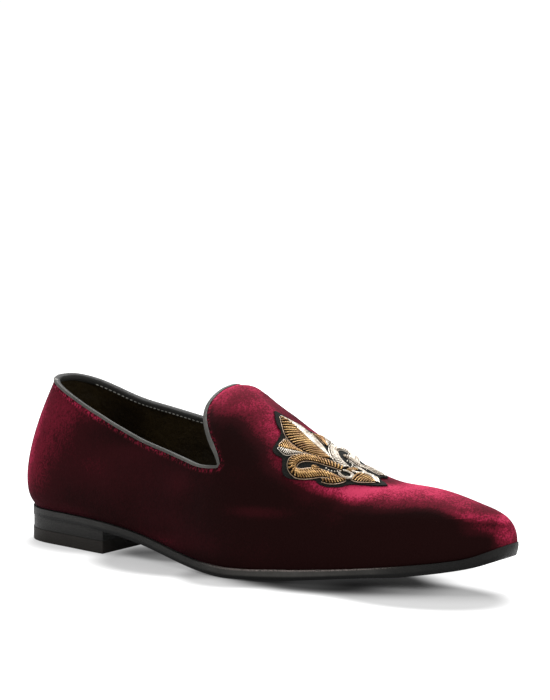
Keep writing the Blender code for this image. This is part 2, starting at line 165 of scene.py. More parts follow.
def round_off(piece, most=0.5 * MM):
    """Subdivide so that the smooth surface still passes close to the solid's own points."""
    goal = places(piece.data)
    cage = goal.copy()
    modifier = piece.modifiers.new("smooth", "SUBSURF")
    modifier.levels = modifier.render_levels = 2
    for _ in range(6):
        graph = bpy.context.evaluated_depsgraph_get()
        graph.update()
        smooth = places(piece.evaluated_get(graph).data)[: len(goal)]
        cage = goal + np.clip(cage - smooth, -most, most)
        set_places(piece.data, cage)
    only(piece)
    bpy.ops.object.modifier_apply(modifier=modifier.name)
    bpy.ops.object.shade_smooth()
    print(f"{piece.name}: {len(piece.data.polygons)} faces")


# %% [markdown]
# The upper of the real shoe is velvet outside and thin leather inside. The solid is one wall, so the copy is cut along
# its sharp rims: the outer skin becomes the velvet and the inner skin the lining. Sharp edges are marked as seams, and
# a face on each side picks up all that it is joined to.


# %% Cut the upper into velvet and lining
def skin_from(piece, choose, name):
    """Separate the skin that holds the chosen face, bounded by the seams."""
    with editing(piece, "EDGE"):
        bpy.ops.mesh.edges_select_sharp(sharpness=math.radians(50))
        bpy.ops.mesh.mark_seam()
    with editing(piece, "FACE") as shape:
        max(shape.faces, key=choose).select_set(True)
        bmesh.update_edit_mesh(piece.data)
        bpy.ops.mesh.select_linked(delimit={"SEAM"})
        bpy.ops.mesh.separate(type="SELECTED")
    skin = next(item for item in bpy.context.selected_objects if item is not piece)
    skin.name = skin.data.name = name
    return skin


def even_out(piece, middle, reach, repeat):
    """Smooth the points round one place, where the solid's sections crowd together."""
    with editing(piece) as shape:
        for vert in shape.verts:
            vert.select_set((vert.co / MM - Vector(middle)).length < reach)
        bmesh.update_edit_mesh(piece.data)
        bpy.ops.mesh.vertices_smooth(factor=0.5, repeat=repeat)


wall = copy_of("upper", "upper_wall")
velvet = skin_from(wall, lambda face: face.calc_center_median().y, "velvet_upper")
lining = skin_from(wall, lambda face: face.calc_area(), "upper_lining")
bpy.data.objects.remove(wall)
round_off(velvet)
round_off(lining)
even_out(velvet, (110.6, 8.9, 43.5), 5.0, 60)

for piece in (velvet, lining):
    rows = places(piece.data)
    print(piece.name, (rows.min(0) / MM).round(1), (rows.max(0) / MM).round(1))


# %% [markdown]
# Where the topline meets the tongue a maker cuts a small round, because a binding can't turn a sharp corner. The rim
# near each corner is evened out step by step. On the outer side the line is then pulled a millimetre or so to where it
# lies on the real shoe. The skin close to the rim follows.


# %% Round the corners of the topline
def edge_loops(piece):
    """Open edges of a skin as closed loops of point numbers."""
    shape = bmesh.new()
    shape.from_mesh(piece.data)
    after = {}
    for edge in shape.edges:
        if edge.is_boundary:
            corner = edge.link_loops[0]
            after[corner.vert.index] = corner.link_loop_next.vert.index
    shape.free()
    loops = []
    while after:
        here, ring = next(iter(after)), []
        while here in after:
            ring.append(here)
            here = after.pop(here)
        loops.append(ring)
    return loops


def unit(rows):
    return rows / np.linalg.norm(rows, axis=-1, keepdims=True)


def nearest(points):
    """A tree that finds the nearest of these points."""
    finder = KDTree(len(points))
    for i, p in enumerate(points):
        finder.insert(p, i)
    finder.balance()
    return finder


def collar_ring(piece):
    rows = places(piece.data) / MM
    return max(edge_loops(piece), key=lambda ring: rows[ring, 2].mean())


CORNER_REACH, CORNER_STEPS, SKIN_REACH = 5.0, 4, 10.0  # mm, rounds, mm
PULLED = (
    (-118, 84.5, 0, 0.6, 12), (-99, 77, 0, 0.5, 12), (-81, 70.5, 0, 0.8, 12),
    (-60, 63.5, 0, 1.4, 12), (-39, 58.5, 0, 1.6, 12), (-20, 55.5, 0, 1.2, 12),
    (-6, 54, 0.4, 0.5, 7), (3.5, 55, 2.4, 0.5, 6), (1.5, 59, 2.6, 0, 6), (-6.5, 68, 1.5, 0, 6),
    (-10.5, 73, 0.7, 0, 6), (-13.5, 77.5, 0, 0, 6), (-15, 81.5, -0.6, 0, 6),
    (-15, 85, -2.3, 0, 6), (-15, 88, -1.6, 0, 6), (-14, 92, -0.3, 0, 6),
)  # x and z of the rim, pull along x and z, reach
for piece in (velvet, lining):
    rows = places(piece.data) / MM
    ring = collar_ring(piece)
    line = rows[ring]
    turn = (unit(line - np.roll(line, 3, 0)) * unit(np.roll(line, -3, 0) - line)).sum(-1)
    eased = line.copy()
    for side in (-1, 1):
        corner = line[np.where(side * line[:, 1] > 0.0, turn, 2.0).argmin()]
        weight = np.exp(-((np.linalg.norm(line - corner, axis=1) / CORNER_REACH) ** 2))[:, None]
        for _ in range(CORNER_STEPS):
            eased += weight * (0.5 * (np.roll(eased, 1, 0) + np.roll(eased, -1, 0)) - eased)
        print(piece.name, "corner at", corner.round(1))
    pull, total = np.zeros_like(line), np.full(len(line), 0.02)
    for x, z, along, up, reach in PULLED:
        weight = np.exp(-(((line[:, 0] - x) ** 2 + (line[:, 2] - z) ** 2) / reach**2))
        pull += weight[:, None] * (along, 0.0, up)
        total += weight
    eased += pull / total[:, None] / (1.0 + np.exp(line[:, 1:2] + 3.0))
    near_line = nearest(line)
    for k, p in enumerate(rows.copy()):
        _, i, gap = near_line.find(p)
        if gap < SKIN_REACH:
            rows[k] += (eased[i] - line[i]) * (1.0 - gap / SKIN_REACH) ** 2
    set_places(piece.data, rows * MM)

# %% [markdown]
# The open edge of the velvet carries the binding and its stitches, so it is walked once and kept as a smooth loop.
# At each place along it three directions are known: along the edge, out from the velvet, and up past the edge.


# %% Walk the collar's edge
def run_along(rows):
    """How far each row lies from the first, along the line."""
    return np.concatenate([[0.0], np.cumsum(np.linalg.norm(np.diff(rows, axis=0), axis=1))])


def at_places(places_wanted, run, table):
    """Rows of a table at places between its own."""
    return np.stack([np.interp(places_wanted, run, column) for column in table.T], axis=-1)


def closed(rows):
    return np.vstack([rows, rows[:1]])


skin_points = places(velvet.data) / MM
skin_normals = np.array([v.normal for v in velvet.data.vertices])
collar = collar_ring(velvet)
rim = skin_points[collar]
rim_place = run_along(closed(rim))
COLLAR_LENGTH = rim_place[-1]


def along_collar(place, table):
    """Values of a table of the collar's points at these distances along it."""
    return at_places(place % COLLAR_LENGTH, rim_place, closed(table))


def collar_frame(place, reach=0.8):
    """Point, direction out of the velvet and direction past the edge; reach is how far off the line is looked at."""
    point = along_collar(place, rim)
    ahead = unit(along_collar(place + reach, rim) - along_collar(place - reach, rim))
    out = along_collar(place, skin_normals[collar])
    out = unit(out - ahead * (out * ahead).sum(-1, keepdims=True))
    return point, out, np.cross(ahead, out)


print(f"collar {COLLAR_LENGTH:.0f} mm round, {len(rim)} points")

# %% [markdown]
# Velvet pulled over a last is never quite even: it gathers softly at the waist, under the corner of the topline and
# where the vamp bends. A cloth simulation would hardly move such a stiffened shell, so each soft trough is placed
# along a line and pressed into the skin with a rounded fall to both sides. The top of the tongue is let out and
# its far slope pressed in by the same means, and the lining goes with the velvet.

# %% Soft creases in the velvet
# side, start x z, end x z, half-width, depth in millimetres; a negative depth is a ridge
CREASES = (
    (-1, (2, 50), (-22, 22), 8, 0.55), (-1, (-8, 48), (-40, 24), 9, -0.35), (-1, (-30, 50), (-62, 26), 9, 0.5),
    (-1, (-70, 62), (-84, 34), 10, 0.4), (-1, (-104, 66), (-112, 34), 10, -0.3), (-1, (20, 34), (58, 27), 6, 0.4),
    (-1, (46, 40), (78, 35), 6, 0.5), (-1, (60, 46), (92, 40), 7, -0.3), (1, (-10, 91.4), (-2, 89.4), 4.5, -1),
    (1, (-1, 88), (15, 76), 6.5, 1.45), (1, (2, 54), (-26, 26), 9, 0.5), (1, (-34, 56), (-60, 28), 10, 0.45),
    (1, (34, 44), (70, 32), 8, 0.4), (1, (-88, 62), (-98, 34), 10, 0.35),
)

CREASE_ENDS = 0.35  # share of its depth that a crease has at its ends

pressed = skin_points.copy()
for side, (x0, z0), (x1, z1), half, depth in CREASES:
    start, run = np.array([x0, z0]), np.array([x1 - x0, z1 - z0])
    offset = skin_points[:, [0, 2]] - start
    share = np.clip(offset @ run / (run @ run), 0.0, 1.0)
    apart = np.linalg.norm(offset - share[:, None] * run, axis=1)
    fall = np.exp(-((apart / half) ** 2)) / (1.0 + np.exp(-side * skin_points[:, 1] / 1.5))
    pressed -= skin_normals * (fall * depth * (CREASE_ENDS + (1.0 - CREASE_ENDS) * np.sin(np.pi * share)))[:, None]
set_places(velvet.data, pressed * MM)
over = nearest(skin_points)
rows = places(lining.data) / MM
rows += (pressed - skin_points)[[over.find(p)[1] for p in rows]]  # the lining goes with the velvet
set_places(lining.data, rows * MM)
print(f"{len(CREASES)} soft creases, {np.abs(pressed - skin_points).max():.2f} mm at most")

# %% [markdown]
# The binding is a thin strip folded over the edge. It shows outside as a narrow grey line and reaches further down
# inside, where a row of stitches holds it. A curve with a bevel would twist on this bent loop, so the rounded section
# of the fold is set at each place along the collar, and the rings are joined.

# %% Binding
BINDING_SECTION = (
    (0.15, -1.2), (0.28, -1.42), (0.44, -1.3), (0.66, -0.6), (0.68, 0.2), (0.44, 0.66), (0, 0.84), (-0.95, 0.88),
    (-1.9, 0.84), (-2.4, 0.65), (-2.72, 0.15), (-2.8, -1), (-2.78, -2.3), (-2.55, -2.6), (-2.3, -2.4), (-2.2, -1.2),
    (-2.2, 0.2), (0.2, 0.2),
)  # out from the velvet, up past the edge
RING_STEP = 1.6  # along the collar from one ring of the strip to the next
LAP, LAP_SWELL = 1.6, 0.14  # half-length of the lap at the back, and how much thicker it is
LAP_AT = (-127.0, -7.0, 88.0)  # behind the heel
OUTER_FOLD, TONGUE_MORE = 0.62, 0.6  # how much of the outer fold is kept, and how much more over the tongue
TONGUE, TONGUE_BACK = (57.0, 65.0), -20.0  # heights between which the fold widens, and the x it starts at


def mesh_piece(name, points, faces):
    """A new object from rows of millimetres and lists of corners."""
    mesh = bpy.data.meshes.new(name)
    mesh.from_pydata((np.asarray(points) * MM).tolist(), [], [list(map(int, face)) for face in faces])
    piece = bpy.data.objects.new(name, mesh)
    bpy.context.scene.collection.objects.link(piece)
    with editing(piece, action="SELECT"):
        bpy.ops.mesh.normals_make_consistent(inside=False)
    bpy.ops.object.shade_smooth()
    return piece


def quads(*corners):
    """Four-sided faces from four grids of point numbers."""
    return list(zip(*(grid.ravel() for grid in corners)))


def share_of(value, low, high):
    """Nought at the low value and below, one at the high value and above."""
    return np.clip((value - low) / (high - low), 0.0, 1.0)


RINGS = round(COLLAR_LENGTH / RING_STEP)
ring_place = np.arange(RINGS) * COLLAR_LENGTH / RINGS
point, out, past = collar_frame(ring_place)
section = np.array(BINDING_SECTION)
around = len(section)
LAP_PLACE = rim_place[np.linalg.norm(rim - LAP_AT, axis=1).argmin()]
from_lap = ring_place - LAP_PLACE
swell = (1.0 + LAP_SWELL * np.exp(-((from_lap / LAP) ** 2)))[:, None, None]
tongue = share_of(point[:, 2], *TONGUE) * (point[:, 0] > TONGUE_BACK)
outer_fold = (section[:, 0] > 0.0) & (section[:, 1] < 0.0)
leg = np.where(outer_fold, OUTER_FOLD + TONGUE_MORE * tongue[:, None], 1.0)
up_past = (section[:, 1] * leg)[..., None]
strip = point[:, None] + swell * (out[:, None] * section[None, :, :1] + past[:, None] * up_past)
ids = np.arange(RINGS * around).reshape(RINGS, around)
beside = np.roll(ids, -1, axis=1)
faces = quads(ids, beside, np.roll(beside, -1, axis=0), np.roll(ids, -1, axis=0))
binding = mesh_piece("collar_binding_strip", strip.reshape(-1, 3), faces)

# Distance along the strip, for its ribs; the last ring runs on to the full length
ribs = binding.data.uv_layers.new(name="ribs")
girth = run_along(closed(section))
for face in binding.data.polygons:
    last = any(binding.data.loops[k].vertex_index >= (RINGS - 1) * around for k in face.loop_indices)
    for k in face.loop_indices:
        i, j = divmod(binding.data.loops[k].vertex_index, around)
        place = COLLAR_LENGTH if last and i == 0 else ring_place[i]
        ribs.data[k].uv = (place, girth[j])
print(f"{binding.name}: {len(binding.data.polygons)} faces")

# %% [markdown]
# Pale stitches run along the lower edge of the binding inside. One stitch is modelled: a small ball, drawn out and
# flattened where it sinks into the leather. Its copies are then set one behind the other along the collar.

# %% Stitches
STITCH_PITCH = 2.8
STITCH_SIZE = (1.8, 0.75, 0.6)  # length, width, height
STITCH_LINE = (-2.86, -1.8)  # out from the velvet, up past the edge


def template(build):
    """Points and faces of a primitive shaped by the given steps, then removed again."""
    build()
    item = bpy.context.object
    points, faces = places(item.data), [tuple(face.vertices) for face in item.data.polygons]
    bpy.data.objects.remove(item)
    return points, faces


def one_stitch():
    bpy.ops.mesh.primitive_uv_sphere_add(segments=8, ring_count=6, radius=0.5)
    with editing(bpy.context.object, action="SELECT"):
        bpy.ops.transform.rotate(value=math.pi / 2, orient_axis="Y", center_override=(0, 0, 0))
        bpy.ops.transform.resize(value=STITCH_SIZE)


def repeated(faces, points, count):
    """The same faces for each of several copies of a set of points."""
    return [tuple(i * points + k for k in face) for i in range(count) for face in faces]


stitch_points, stitch_faces = template(one_stitch)
count = round(COLLAR_LENGTH / STITCH_PITCH)
stitch_place = np.arange(count) * COLLAR_LENGTH / count
stitch_place = stitch_place[along_collar(stitch_place, rim)[:, 0] > -124.0]  # none show round the back of the heel
point, out, past = collar_frame(stitch_place)
ahead = np.cross(out, past)
seat = point + out * STITCH_LINE[0] + past * STITCH_LINE[1]
sewn = seat[:, None]
for direction, column in ((ahead, 0), (past, 1), (out, 2)):
    sewn = sewn + direction[:, None] * stitch_points[None, :, column, None]
faces = repeated(stitch_faces, len(stitch_points), len(seat))
stitches = mesh_piece("collar_stitches", sewn.reshape(-1, 3), faces)
print(f"{len(seat)} stitches, {COLLAR_LENGTH / count:.2f} mm apart")

# %% [markdown]
# The sole edge, heel and insole are plain boards with crisp edges. Their copies keep those edges sharp while the
# outline between them is smoothed, and a fine bevel then breaks each edge as a maker's file would. How far up the edge
# a point lies is kept as an attribute, because the top of a sole edge wears first. A worn forepart turns up a little
# at its outer edge, so the rim of the outsole is lifted there.


# %% Outsole, heel and insole
SHARP = math.radians(40)  # an edge that turns further is kept


def finished(piece, edge, segments):
    """Hold the sharp edges, smooth the outline between them and break each edge with a fine bevel."""
    with editing(piece, "EDGE"):
        bpy.ops.mesh.edges_select_sharp(sharpness=SHARP)
        bpy.ops.transform.edge_crease(value=1.0)
    round_off(piece)
    apply(piece, "BEVEL", width=edge * MM, segments=segments, limit_method="ANGLE", angle_limit=SHARP)
    apply(piece, "WEIGHTED_NORMAL", weight=60)


def mark(piece, key, values):
    """Keep a value at each point of a piece, for its material."""
    kept = piece.data.attributes.new(key, "FLOAT", "POINT").data
    kept.foreach_set("value", (np.ones(len(kept)) * values).astype(np.float32))


def height_share(piece):
    return np.array([item.value for item in piece.data.attributes["up_edge"].data])


def mark_height(piece):
    """Nought at the lower face of a board and one at the upper."""
    rows = places(piece.data) / MM
    columns = {}
    for i, (x, y, z) in enumerate(rows):
        columns.setdefault((round(x, 1), round(y, 1)), []).append((z, i))
    share = np.zeros(len(rows), np.float32)
    for column in columns.values():
        share[max(column)[1]] = 1.0
    mark(piece, "up_edge", share)


def board(node, name, edge, grow=0.0):
    """Smoothed copy of a board, grown up and down to meet its neighbours where the solids keep a gap."""
    piece = copy_of(node, name)
    mark_height(piece)
    rows = places(piece.data)
    rows[:, 2] += (2.0 * height_share(piece) - 1.0) * grow * MM
    set_places(piece.data, rows)
    finished(piece, edge, 3)
    return piece


outsole = board("outsole", "outsole_leather", 0.9)
LIFTED = ((0, 0.3, 0.0), (16, 0.5, 0.0), (30, 0.9, 0.5), (44, 1.7, 1.0), (60, 1.8, 1.4), (76, 1.5, 1.5), (90, 1.2, 1.1),
          (104, 0.9, 0.1), (120, 0.7, 0.0), (136, 0.9, 0.0), (150, 2.1, 0.0))  # x, lift of the upper and the lower edge
OUTER_FROM, OUTER_FADE = -12.0, 5.0  # y of the outer side, and how softly it starts
TOE, TOE_TIP = (120.0, 140.0), (138.0, 150.0)  # x where the whole rim is lifted, and where its edge is rounded
TOE_BELOW, TOE_ABOVE = 2.4, 0.4  # how far the toe's lower and upper edges are drawn back
rows = places(outsole.data) / MM
up = height_share(outsole)
lift_x, *lifts = np.array(LIFTED).T
upper_lift, lower_lift = (np.interp(rows[:, 0], lift_x, lift, left=0.0) for lift in lifts)
outer = np.maximum(1.0 / (1.0 + np.exp((rows[:, 1] - OUTER_FROM) / OUTER_FADE)), share_of(rows[:, 0], *TOE))
rows[:, 2] += outer * (up * upper_lift + (1.0 - up) * lower_lift)
rounded = TOE_BELOW * (1.0 - up) ** 2 + TOE_ABOVE * up**3
rows[:, 0] -= rounded * share_of(rows[:, 0], *TOE_TIP) ** 2
set_places(outsole.data, rows * MM)
stack = board("heel_stack", "heel_stack_leather", 0.15, 0.28)
top_lift = board("top_lift", "top_lift_rubber", 0.2)
insole = board("insole", "insole_sock", 0.8)


# %% [markdown]
# The crest lies on the curved vamp, but it is far easier to draw flat, as an embroiderer does on a frame. So the vamp
# is measured once: rays are dropped on it along and across the crest, and distances are counted over the surface. A
# point of the flat drawing, so far along from the tip, so far sideways and so high, then has its place on the shoe.

# %% Lay a flat drawing on the vamp
CREST_START = 14.23  # x where the drawing starts
# along, y of the crest's middle line
CREST_AXIS = ((-4, -3.1), (0, -3.4), (19.5, -6.7), (39.5, -8.6), (53.5, -7.4), (67.5, -3.9), (74, -2.4))
REACH = 36.0  # furthest sideways
STEP = 0.5

vamp = BVHTree.FromPolygons(
    [v.co for v in velvet.data.vertices], [tuple(face.vertices) for face in velvet.data.polygons]
)
grid_along = np.arange(-3.0, 72.0, 1.0)
grid_side = np.arange(-REACH, REACH + STEP, STEP)
axis_along, axis_y = np.array(CREST_AXIS).T


def vamp_row(along):
    """Points over the vamp at even distances to both sides of the crest's axis."""
    x, middle = CREST_START + along, np.interp(along, axis_along, axis_y)
    ys = middle - np.arange(-45.0, 45.5, STEP)
    hits = [vamp.ray_cast(Vector((x, y, 150.0)) * MM, Vector((0, 0, -1)))[0] for y in ys]
    found = [(y, hit) for y, hit in zip(ys, hits) if hit is not None]
    row = np.array([hit for _, hit in found]) / MM
    run = run_along(row)
    run -= np.interp(-middle, [-y for y, _ in found], run)
    return at_places(grid_side, run, row)


vamp_grid = np.array([vamp_row(along) for along in grid_along])
slope_along, slope_side = np.gradient(vamp_grid, 1.0, axis=0), np.gradient(vamp_grid, STEP, axis=1)
vamp_up = unit(np.cross(slope_side, slope_along))
if vamp_up[..., 2].mean() < 0.0:
    vamp_up = -vamp_up


def on_vamp(along, side, height):
    """Places on the shoe of points of the flat drawing."""
    along, side, height = np.broadcast_arrays(*map(np.asarray, (along, side, height)))
    i = np.clip(along - grid_along[0], 0.0, len(grid_along) - 1.001)
    j = np.clip((side + REACH) / STEP, 0.0, len(grid_side) - 1.001)
    i0, j0 = i.astype(int), j.astype(int)
    u, v = (i - i0)[..., None], (j - j0)[..., None]

    def blend(grid):
        low = grid[i0, j0] * (1 - v) + grid[i0, j0 + 1] * v
        high = grid[i0 + 1, j0] * (1 - v) + grid[i0 + 1, j0 + 1] * v
        return low * (1 - u) + high * u

    return blend(vamp_grid) + unit(blend(vamp_up)) * height[..., None]


print("crest tip at", on_vamp(0.0, 0.0, 0.0).round(1), "and foot at", on_vamp(67.0, 0.0, 0.0).round(1))

# %% [markdown]
# The crest is sewn on a patch of black felt, cut a little wider than the figure. The solid has nearly that outline: the
# foot and the far lobe of its copy are let out over the vamp, and the near side is cut closer beside the great leaf.
# The cut edge then stays crisp while the outline is smoothed, and gets a small bevel. Loose wool fibres stand out all
# round a cut felt edge; they are short thin spikes, set by a seeded draw.

# %% Felt patch and its fibres
FOOT, FOOT_LET_OUT = (55.8, 67.3), 2.6  # where the foot of the patch starts and ends, and how far it is let out
FAR_LOBE, FAR_SIDE, FAR_LET_OUT = (42.0, 50.0), (3.0, 16.0), 8.5  # the same for its far lobe, along and sideways
NOTCH, NOTCH_HALF, NOTCH_SIDE, NOTCH_CUT = 11.6, 2.6, (3.0, 9.0), 1.9  # its near side, cut beside the great leaf

felt = copy_of("crest_felt", "crest_felt_patch")
rows = places(felt.data) / MM
along = rows[:, 0] - CREST_START
station = np.clip(np.round(along - grid_along[0]), 0, len(grid_along) - 1).astype(int)
side = np.array([np.interp(-y, -vamp_grid[k, :, 1], grid_side) for k, y in zip(station, rows[:, 1])])
foot_point = on_vamp(along, side, 0.0)
lift = ((rows - foot_point) * (on_vamp(along, side, 1.0) - foot_point)).sum(axis=1)
let_out = FOOT_LET_OUT * share_of(along, *FOOT) ** 2
let_out += FAR_LET_OUT * share_of(along, *FAR_LOBE) * share_of(-side, *FAR_SIDE)
cut_in = NOTCH_CUT * np.exp(-(((along - NOTCH) / NOTCH_HALF) ** 2)) * share_of(side, *NOTCH_SIDE)
moved = on_vamp(along + let_out, side - cut_in, lift) - on_vamp(along, side, lift)
set_places(felt.data, (rows + moved) * MM)
finished(felt, 0.2, 2)

FIBRES, FIBRE_LENGTH, FIBRE_WIDTH, FIBRE_SCATTER = 900, (0.3, 1.1), 0.07, 0.5
STEEP = 0.62  # a face that looks less upward than this belongs to the cut edge
draw = np.random.default_rng(7)
rows = places(felt.data) / MM
rims = [face for face in felt.data.polygons if abs(face.normal.z) < STEEP]
size = np.array([face.area for face in rims])
picked = [rims[k] for k in draw.choice(len(rims), FIBRES, p=size / size.sum())]
spot = draw.dirichlet(np.ones(3), FIBRES)
root = np.array([spot[k] @ rows[list(face.vertices)[:3]] for k, face in enumerate(picked)])
lean = unit(np.array([face.normal for face in picked]) + draw.normal(0.0, FIBRE_SCATTER, (FIBRES, 3)))
tip = root + lean * draw.uniform(*FIBRE_LENGTH, (FIBRES, 1))
beside = unit(np.cross(lean, draw.normal(0.0, 1.0, (FIBRES, 3)))) * FIBRE_WIDTH
over = np.cross(lean, beside)
corners = np.stack([root + beside, root - 0.5 * beside + 0.87 * over, root - 0.5 * beside - 0.87 * over, tip], axis=1)
faces = repeated(((0, 1, 3), (1, 2, 3), (2, 0, 3)), 4, FIBRES)
fibres = mesh_piece("felt_fibres", corners.reshape(-1, 3), faces)
print(f"{FIBRES} loose fibres round the felt")

# %% [markdown]
# Bullion is a tight coil of fine metal wire, cut into short lengths that are threaded like beads and laid side by side
# over padding. One length is modelled: a cylinder with more rings along it and its ends drawn in. It is then laid
# hundreds of times between the two sides of each part of the figure, leaning like the barbs of a feather.


# %% One length of bullion
PURL_SIDES, PURL_CUTS = 8, 11
FELT_TOP, DOME = 1.05, 0.5  # height of the felt above the velvet, and of the padding in the middle of a part
LAID = FELT_TOP + 0.3  # height of a laid thread's middle at the sides of a part
LEAN_FROM = 0.2  # share of a part's length after which its bullion leans fully
SHORTEST, PRESSED, KNOB = 1.6, 0.75, 0.35  # least length to thickness, height to width, swell of a knob


def one_purl():
    bpy.ops.mesh.primitive_cylinder_add(vertices=PURL_SIDES, radius=1.0, depth=1.0, end_fill_type="TRIFAN")
    item = bpy.context.object
    with editing(item, "EDGE") as shape:
        for edge in shape.edges:
            edge.select_set(abs(edge.verts[0].co.z - edge.verts[1].co.z) > 0.5)
        bmesh.update_edit_mesh(item.data)
        bpy.ops.mesh.subdivide(number_cuts=PURL_CUTS)
    rows = places(item.data)
    rows[np.abs(rows[:, 2]) > 0.49, :2] *= 0.55
    set_places(item.data, rows)


purl_points, purl_faces = template(one_purl)


def curve(table, count):
    """Smooth line through a few points of the drawing, at even distances."""
    table = np.asarray(table, float)
    ends = np.vstack([2 * table[0] - table[1], table, 2 * table[-1] - table[-2]])
    line = []
    for p0, p1, p2, p3 in zip(ends, ends[1:], ends[2:], ends[3:]):
        turn, bend = 2 * p0 - 5 * p1 + 4 * p2 - p3, 3 * p1 - p0 - 3 * p2 + p3
        line += [0.5 * (2 * p1 + (p2 - p0) * t + turn * t**2 + bend * t**3) for t in np.arange(0.0, 1.0, 0.05)]
    line = np.array(line + [table[-1]])
    run = run_along(line[:, :2])
    return at_places(np.linspace(0.0, run[-1], count), run, line)


def at_share(line, share):
    return at_places(np.clip(share, 0.0, 1.0) * (len(line) - 1), np.arange(len(line)), line)


def to_left(ahead):
    """Flat direction to the left of each of these directions."""
    return np.stack([-ahead[:, 1], ahead[:, 0]], axis=-1)


def dome(size, share):
    """Rise of a part between its sides, lower where it is narrow."""
    return DOME * np.minimum(1.0, size / 4.0)[:, None] * np.sin(np.pi * share) ** 0.8


def purl_rows(left, right, pitch, lean, thick, knobs):
    """Bullion laid from the left line to the right line; lean moves the right end toward the start."""
    count = max(3, round(max(run_along(left)[-1], run_along(right)[-1]) / pitch))
    share = (np.arange(count) + 0.5) / count
    lead = lean * np.minimum(1.0, share / LEAN_FROM)
    start, end = at_share(left, share + lead), at_share(right, share)
    run = end - start
    size = np.linalg.norm(run, axis=1)
    keep = size > SHORTEST * thick
    start, run, size = start[keep], run[keep], size[keep]
    across = to_left(run / size[:, None])
    t = purl_points[:, 2] + 0.5
    swell = 1.2 - 0.7 * t if knobs == 0 else 1.0 + KNOB * np.cos(2 * np.pi * knobs * t)
    wide, tall = purl_points[:, 0] * thick * swell, purl_points[:, 1] * thick * swell * PRESSED
    flat = start[:, None] + run[:, None] * t[None, :, None] + across[:, None] * wide[None, :, None]
    rise = dome(size, np.clip(0.06 + 0.88 * t, 0, 1))
    points = on_vamp(flat[..., 0], flat[..., 1], LAID + rise + tall)
    coil = size[:, None] * t[None, :]
    faces = repeated(purl_faces, len(t), len(size))
    return points.reshape(-1, 3), faces, coil.ravel(), np.tile(purl_points[:, 1], len(size))


print(f"one length of bullion: {len(purl_faces)} faces")

# %% [markdown]
# Each part of the figure has two sides, drawn from the tip to its root. The great leaf is split down the middle, gold
# on the near half and silver on the far half. Scrolls, curls and band are ribbons, drawn as a middle line with a width.

# %% Drawing of the figure
SPLIT = ((5.2, 0), (9, -2.2), (14, -3.3), (19, -3.2), (24, -2.4), (31, -1.6), (37, -0.8))
LEAF_NEAR = ((5, 0.7), (8.2, 3.6), (11.2, 6.1), (13.7, 7.8), (16.7, 8.9), (21.2, 9), (26, 8.2), (30, 6.6),
             (34.2, 4.2), (37, 1))
LEAF_FAR = ((5, 0), (6.7, -2.2), (10.2, -5.6), (13.2, -7.8), (17.2, -8.7), (21.2, -8.4), (25.2, -7.3), (28.7, -5.8),
            (32.2, -4), (37.4, -1))
SIDE_MIDDLE = ((15.8, 17.6), (20.2, 14.6), (23.7, 11.7), (26.7, 9.6))
SIDE_UPPER = ((15.7, 17.2), (15.9, 13.6), (16.4, 10.6), (20.2, 10.2), (26.2, 9.2))
SIDE_LOWER = ((15.9, 18.3), (20.8, 18.1), (23.4, 15), (26.2, 11.2), (27, 9.9))
SCROLL = ((46.4, 1.2, 1.8), (40.2, 3.2, 2.2), (34.7, 6.3, 2.1), (30.7, 9.6, 1.9), (28.1, 12.8, 1.9), (26.6, 16.1, 2),
          (26.4, 19.5, 2.1), (27.8, 22.1, 2.2), (30.4, 22.5, 2.2), (33.4, 20.5, 2.2), (36.4, 17.1, 2.4),
          (39.2, 13.9, 2.4), (42.7, 11.9, 1.9), (46.2, 10.9, 1.6), (49.2, 10, 1))
SPUR_LEFT = ((34.6, 12.2), (35, 14), (36, 15.6))
SPUR_RIGHT = ((35.2, 11.8), (37.2, 10.6), (39.8, 11))
CURL = ((42.8, 16.7, 0.6), (45.4, 15.1, 1.4), (48, 12.9, 1.7), (50.2, 10.4, 1.5), (51.6, 8.2, 0.8))
CURL_FAR = ((48.6, -16.4, 0.9), (51.8, -16.2, 1.9), (55, -15.4, 2.4), (57.8, -14.2, 2.1), (60.2, -12.8, 1))
BAND = ((50.6, -5.4, 1), (49.6, -3, 1.4), (49.2, -0.4, 1.5), (49.4, 1.2, 1.2))
RING = ((46.8, 5.8, 0.6), (48.4, 7.2, 0.9), (51.2, 7.2, 1), (53.2, 5.2, 1.1), (52.8, 2.6, 1), (50.8, 1.3, 0.9),
        (48.6, 1.6, 0.8), (47.2, 2.8, 0.6))
KNOTS = ((40.8, 8.1), (43, 8.3), (45.2, 6.7), (46.6, 4.4))
TAIL_MIDDLE = ((52.8, 0.9), (56, 0.5), (60, 0.4), (63.4, 0.8))
TAIL_NEAR = ((54, 6.2), (56.5, 6.3), (60, 4.4), (63.8, 1.2))
TAIL_FAR = ((53.6, -4.4), (56.4, -4.9), (59.6, -3.2), (63.4, 0.4))
TAIL_TIP = ((57.4, -6.6), (60, -6.4), (62.4, -3.6), (65.2, 0.4))
SKEW = 0.3  # the far half lies further forward, because the axis turns outward


def far(table):
    """The same drawing on the far side of the axis."""
    return tuple((row[0] + SKEW * row[1], -row[1], *row[2:]) for row in table)


def ribbon(table):
    """Left and right sides of a ribbon from its middle line and half-width."""
    line = curve(table, 120)
    middle = line[:, :2]
    across = to_left(unit(np.gradient(middle, axis=0))) * np.maximum(line[:, 2:], 0.35)
    return middle + across, middle - across


def sides(left, right):
    return curve(left, 120), curve(right, 120)


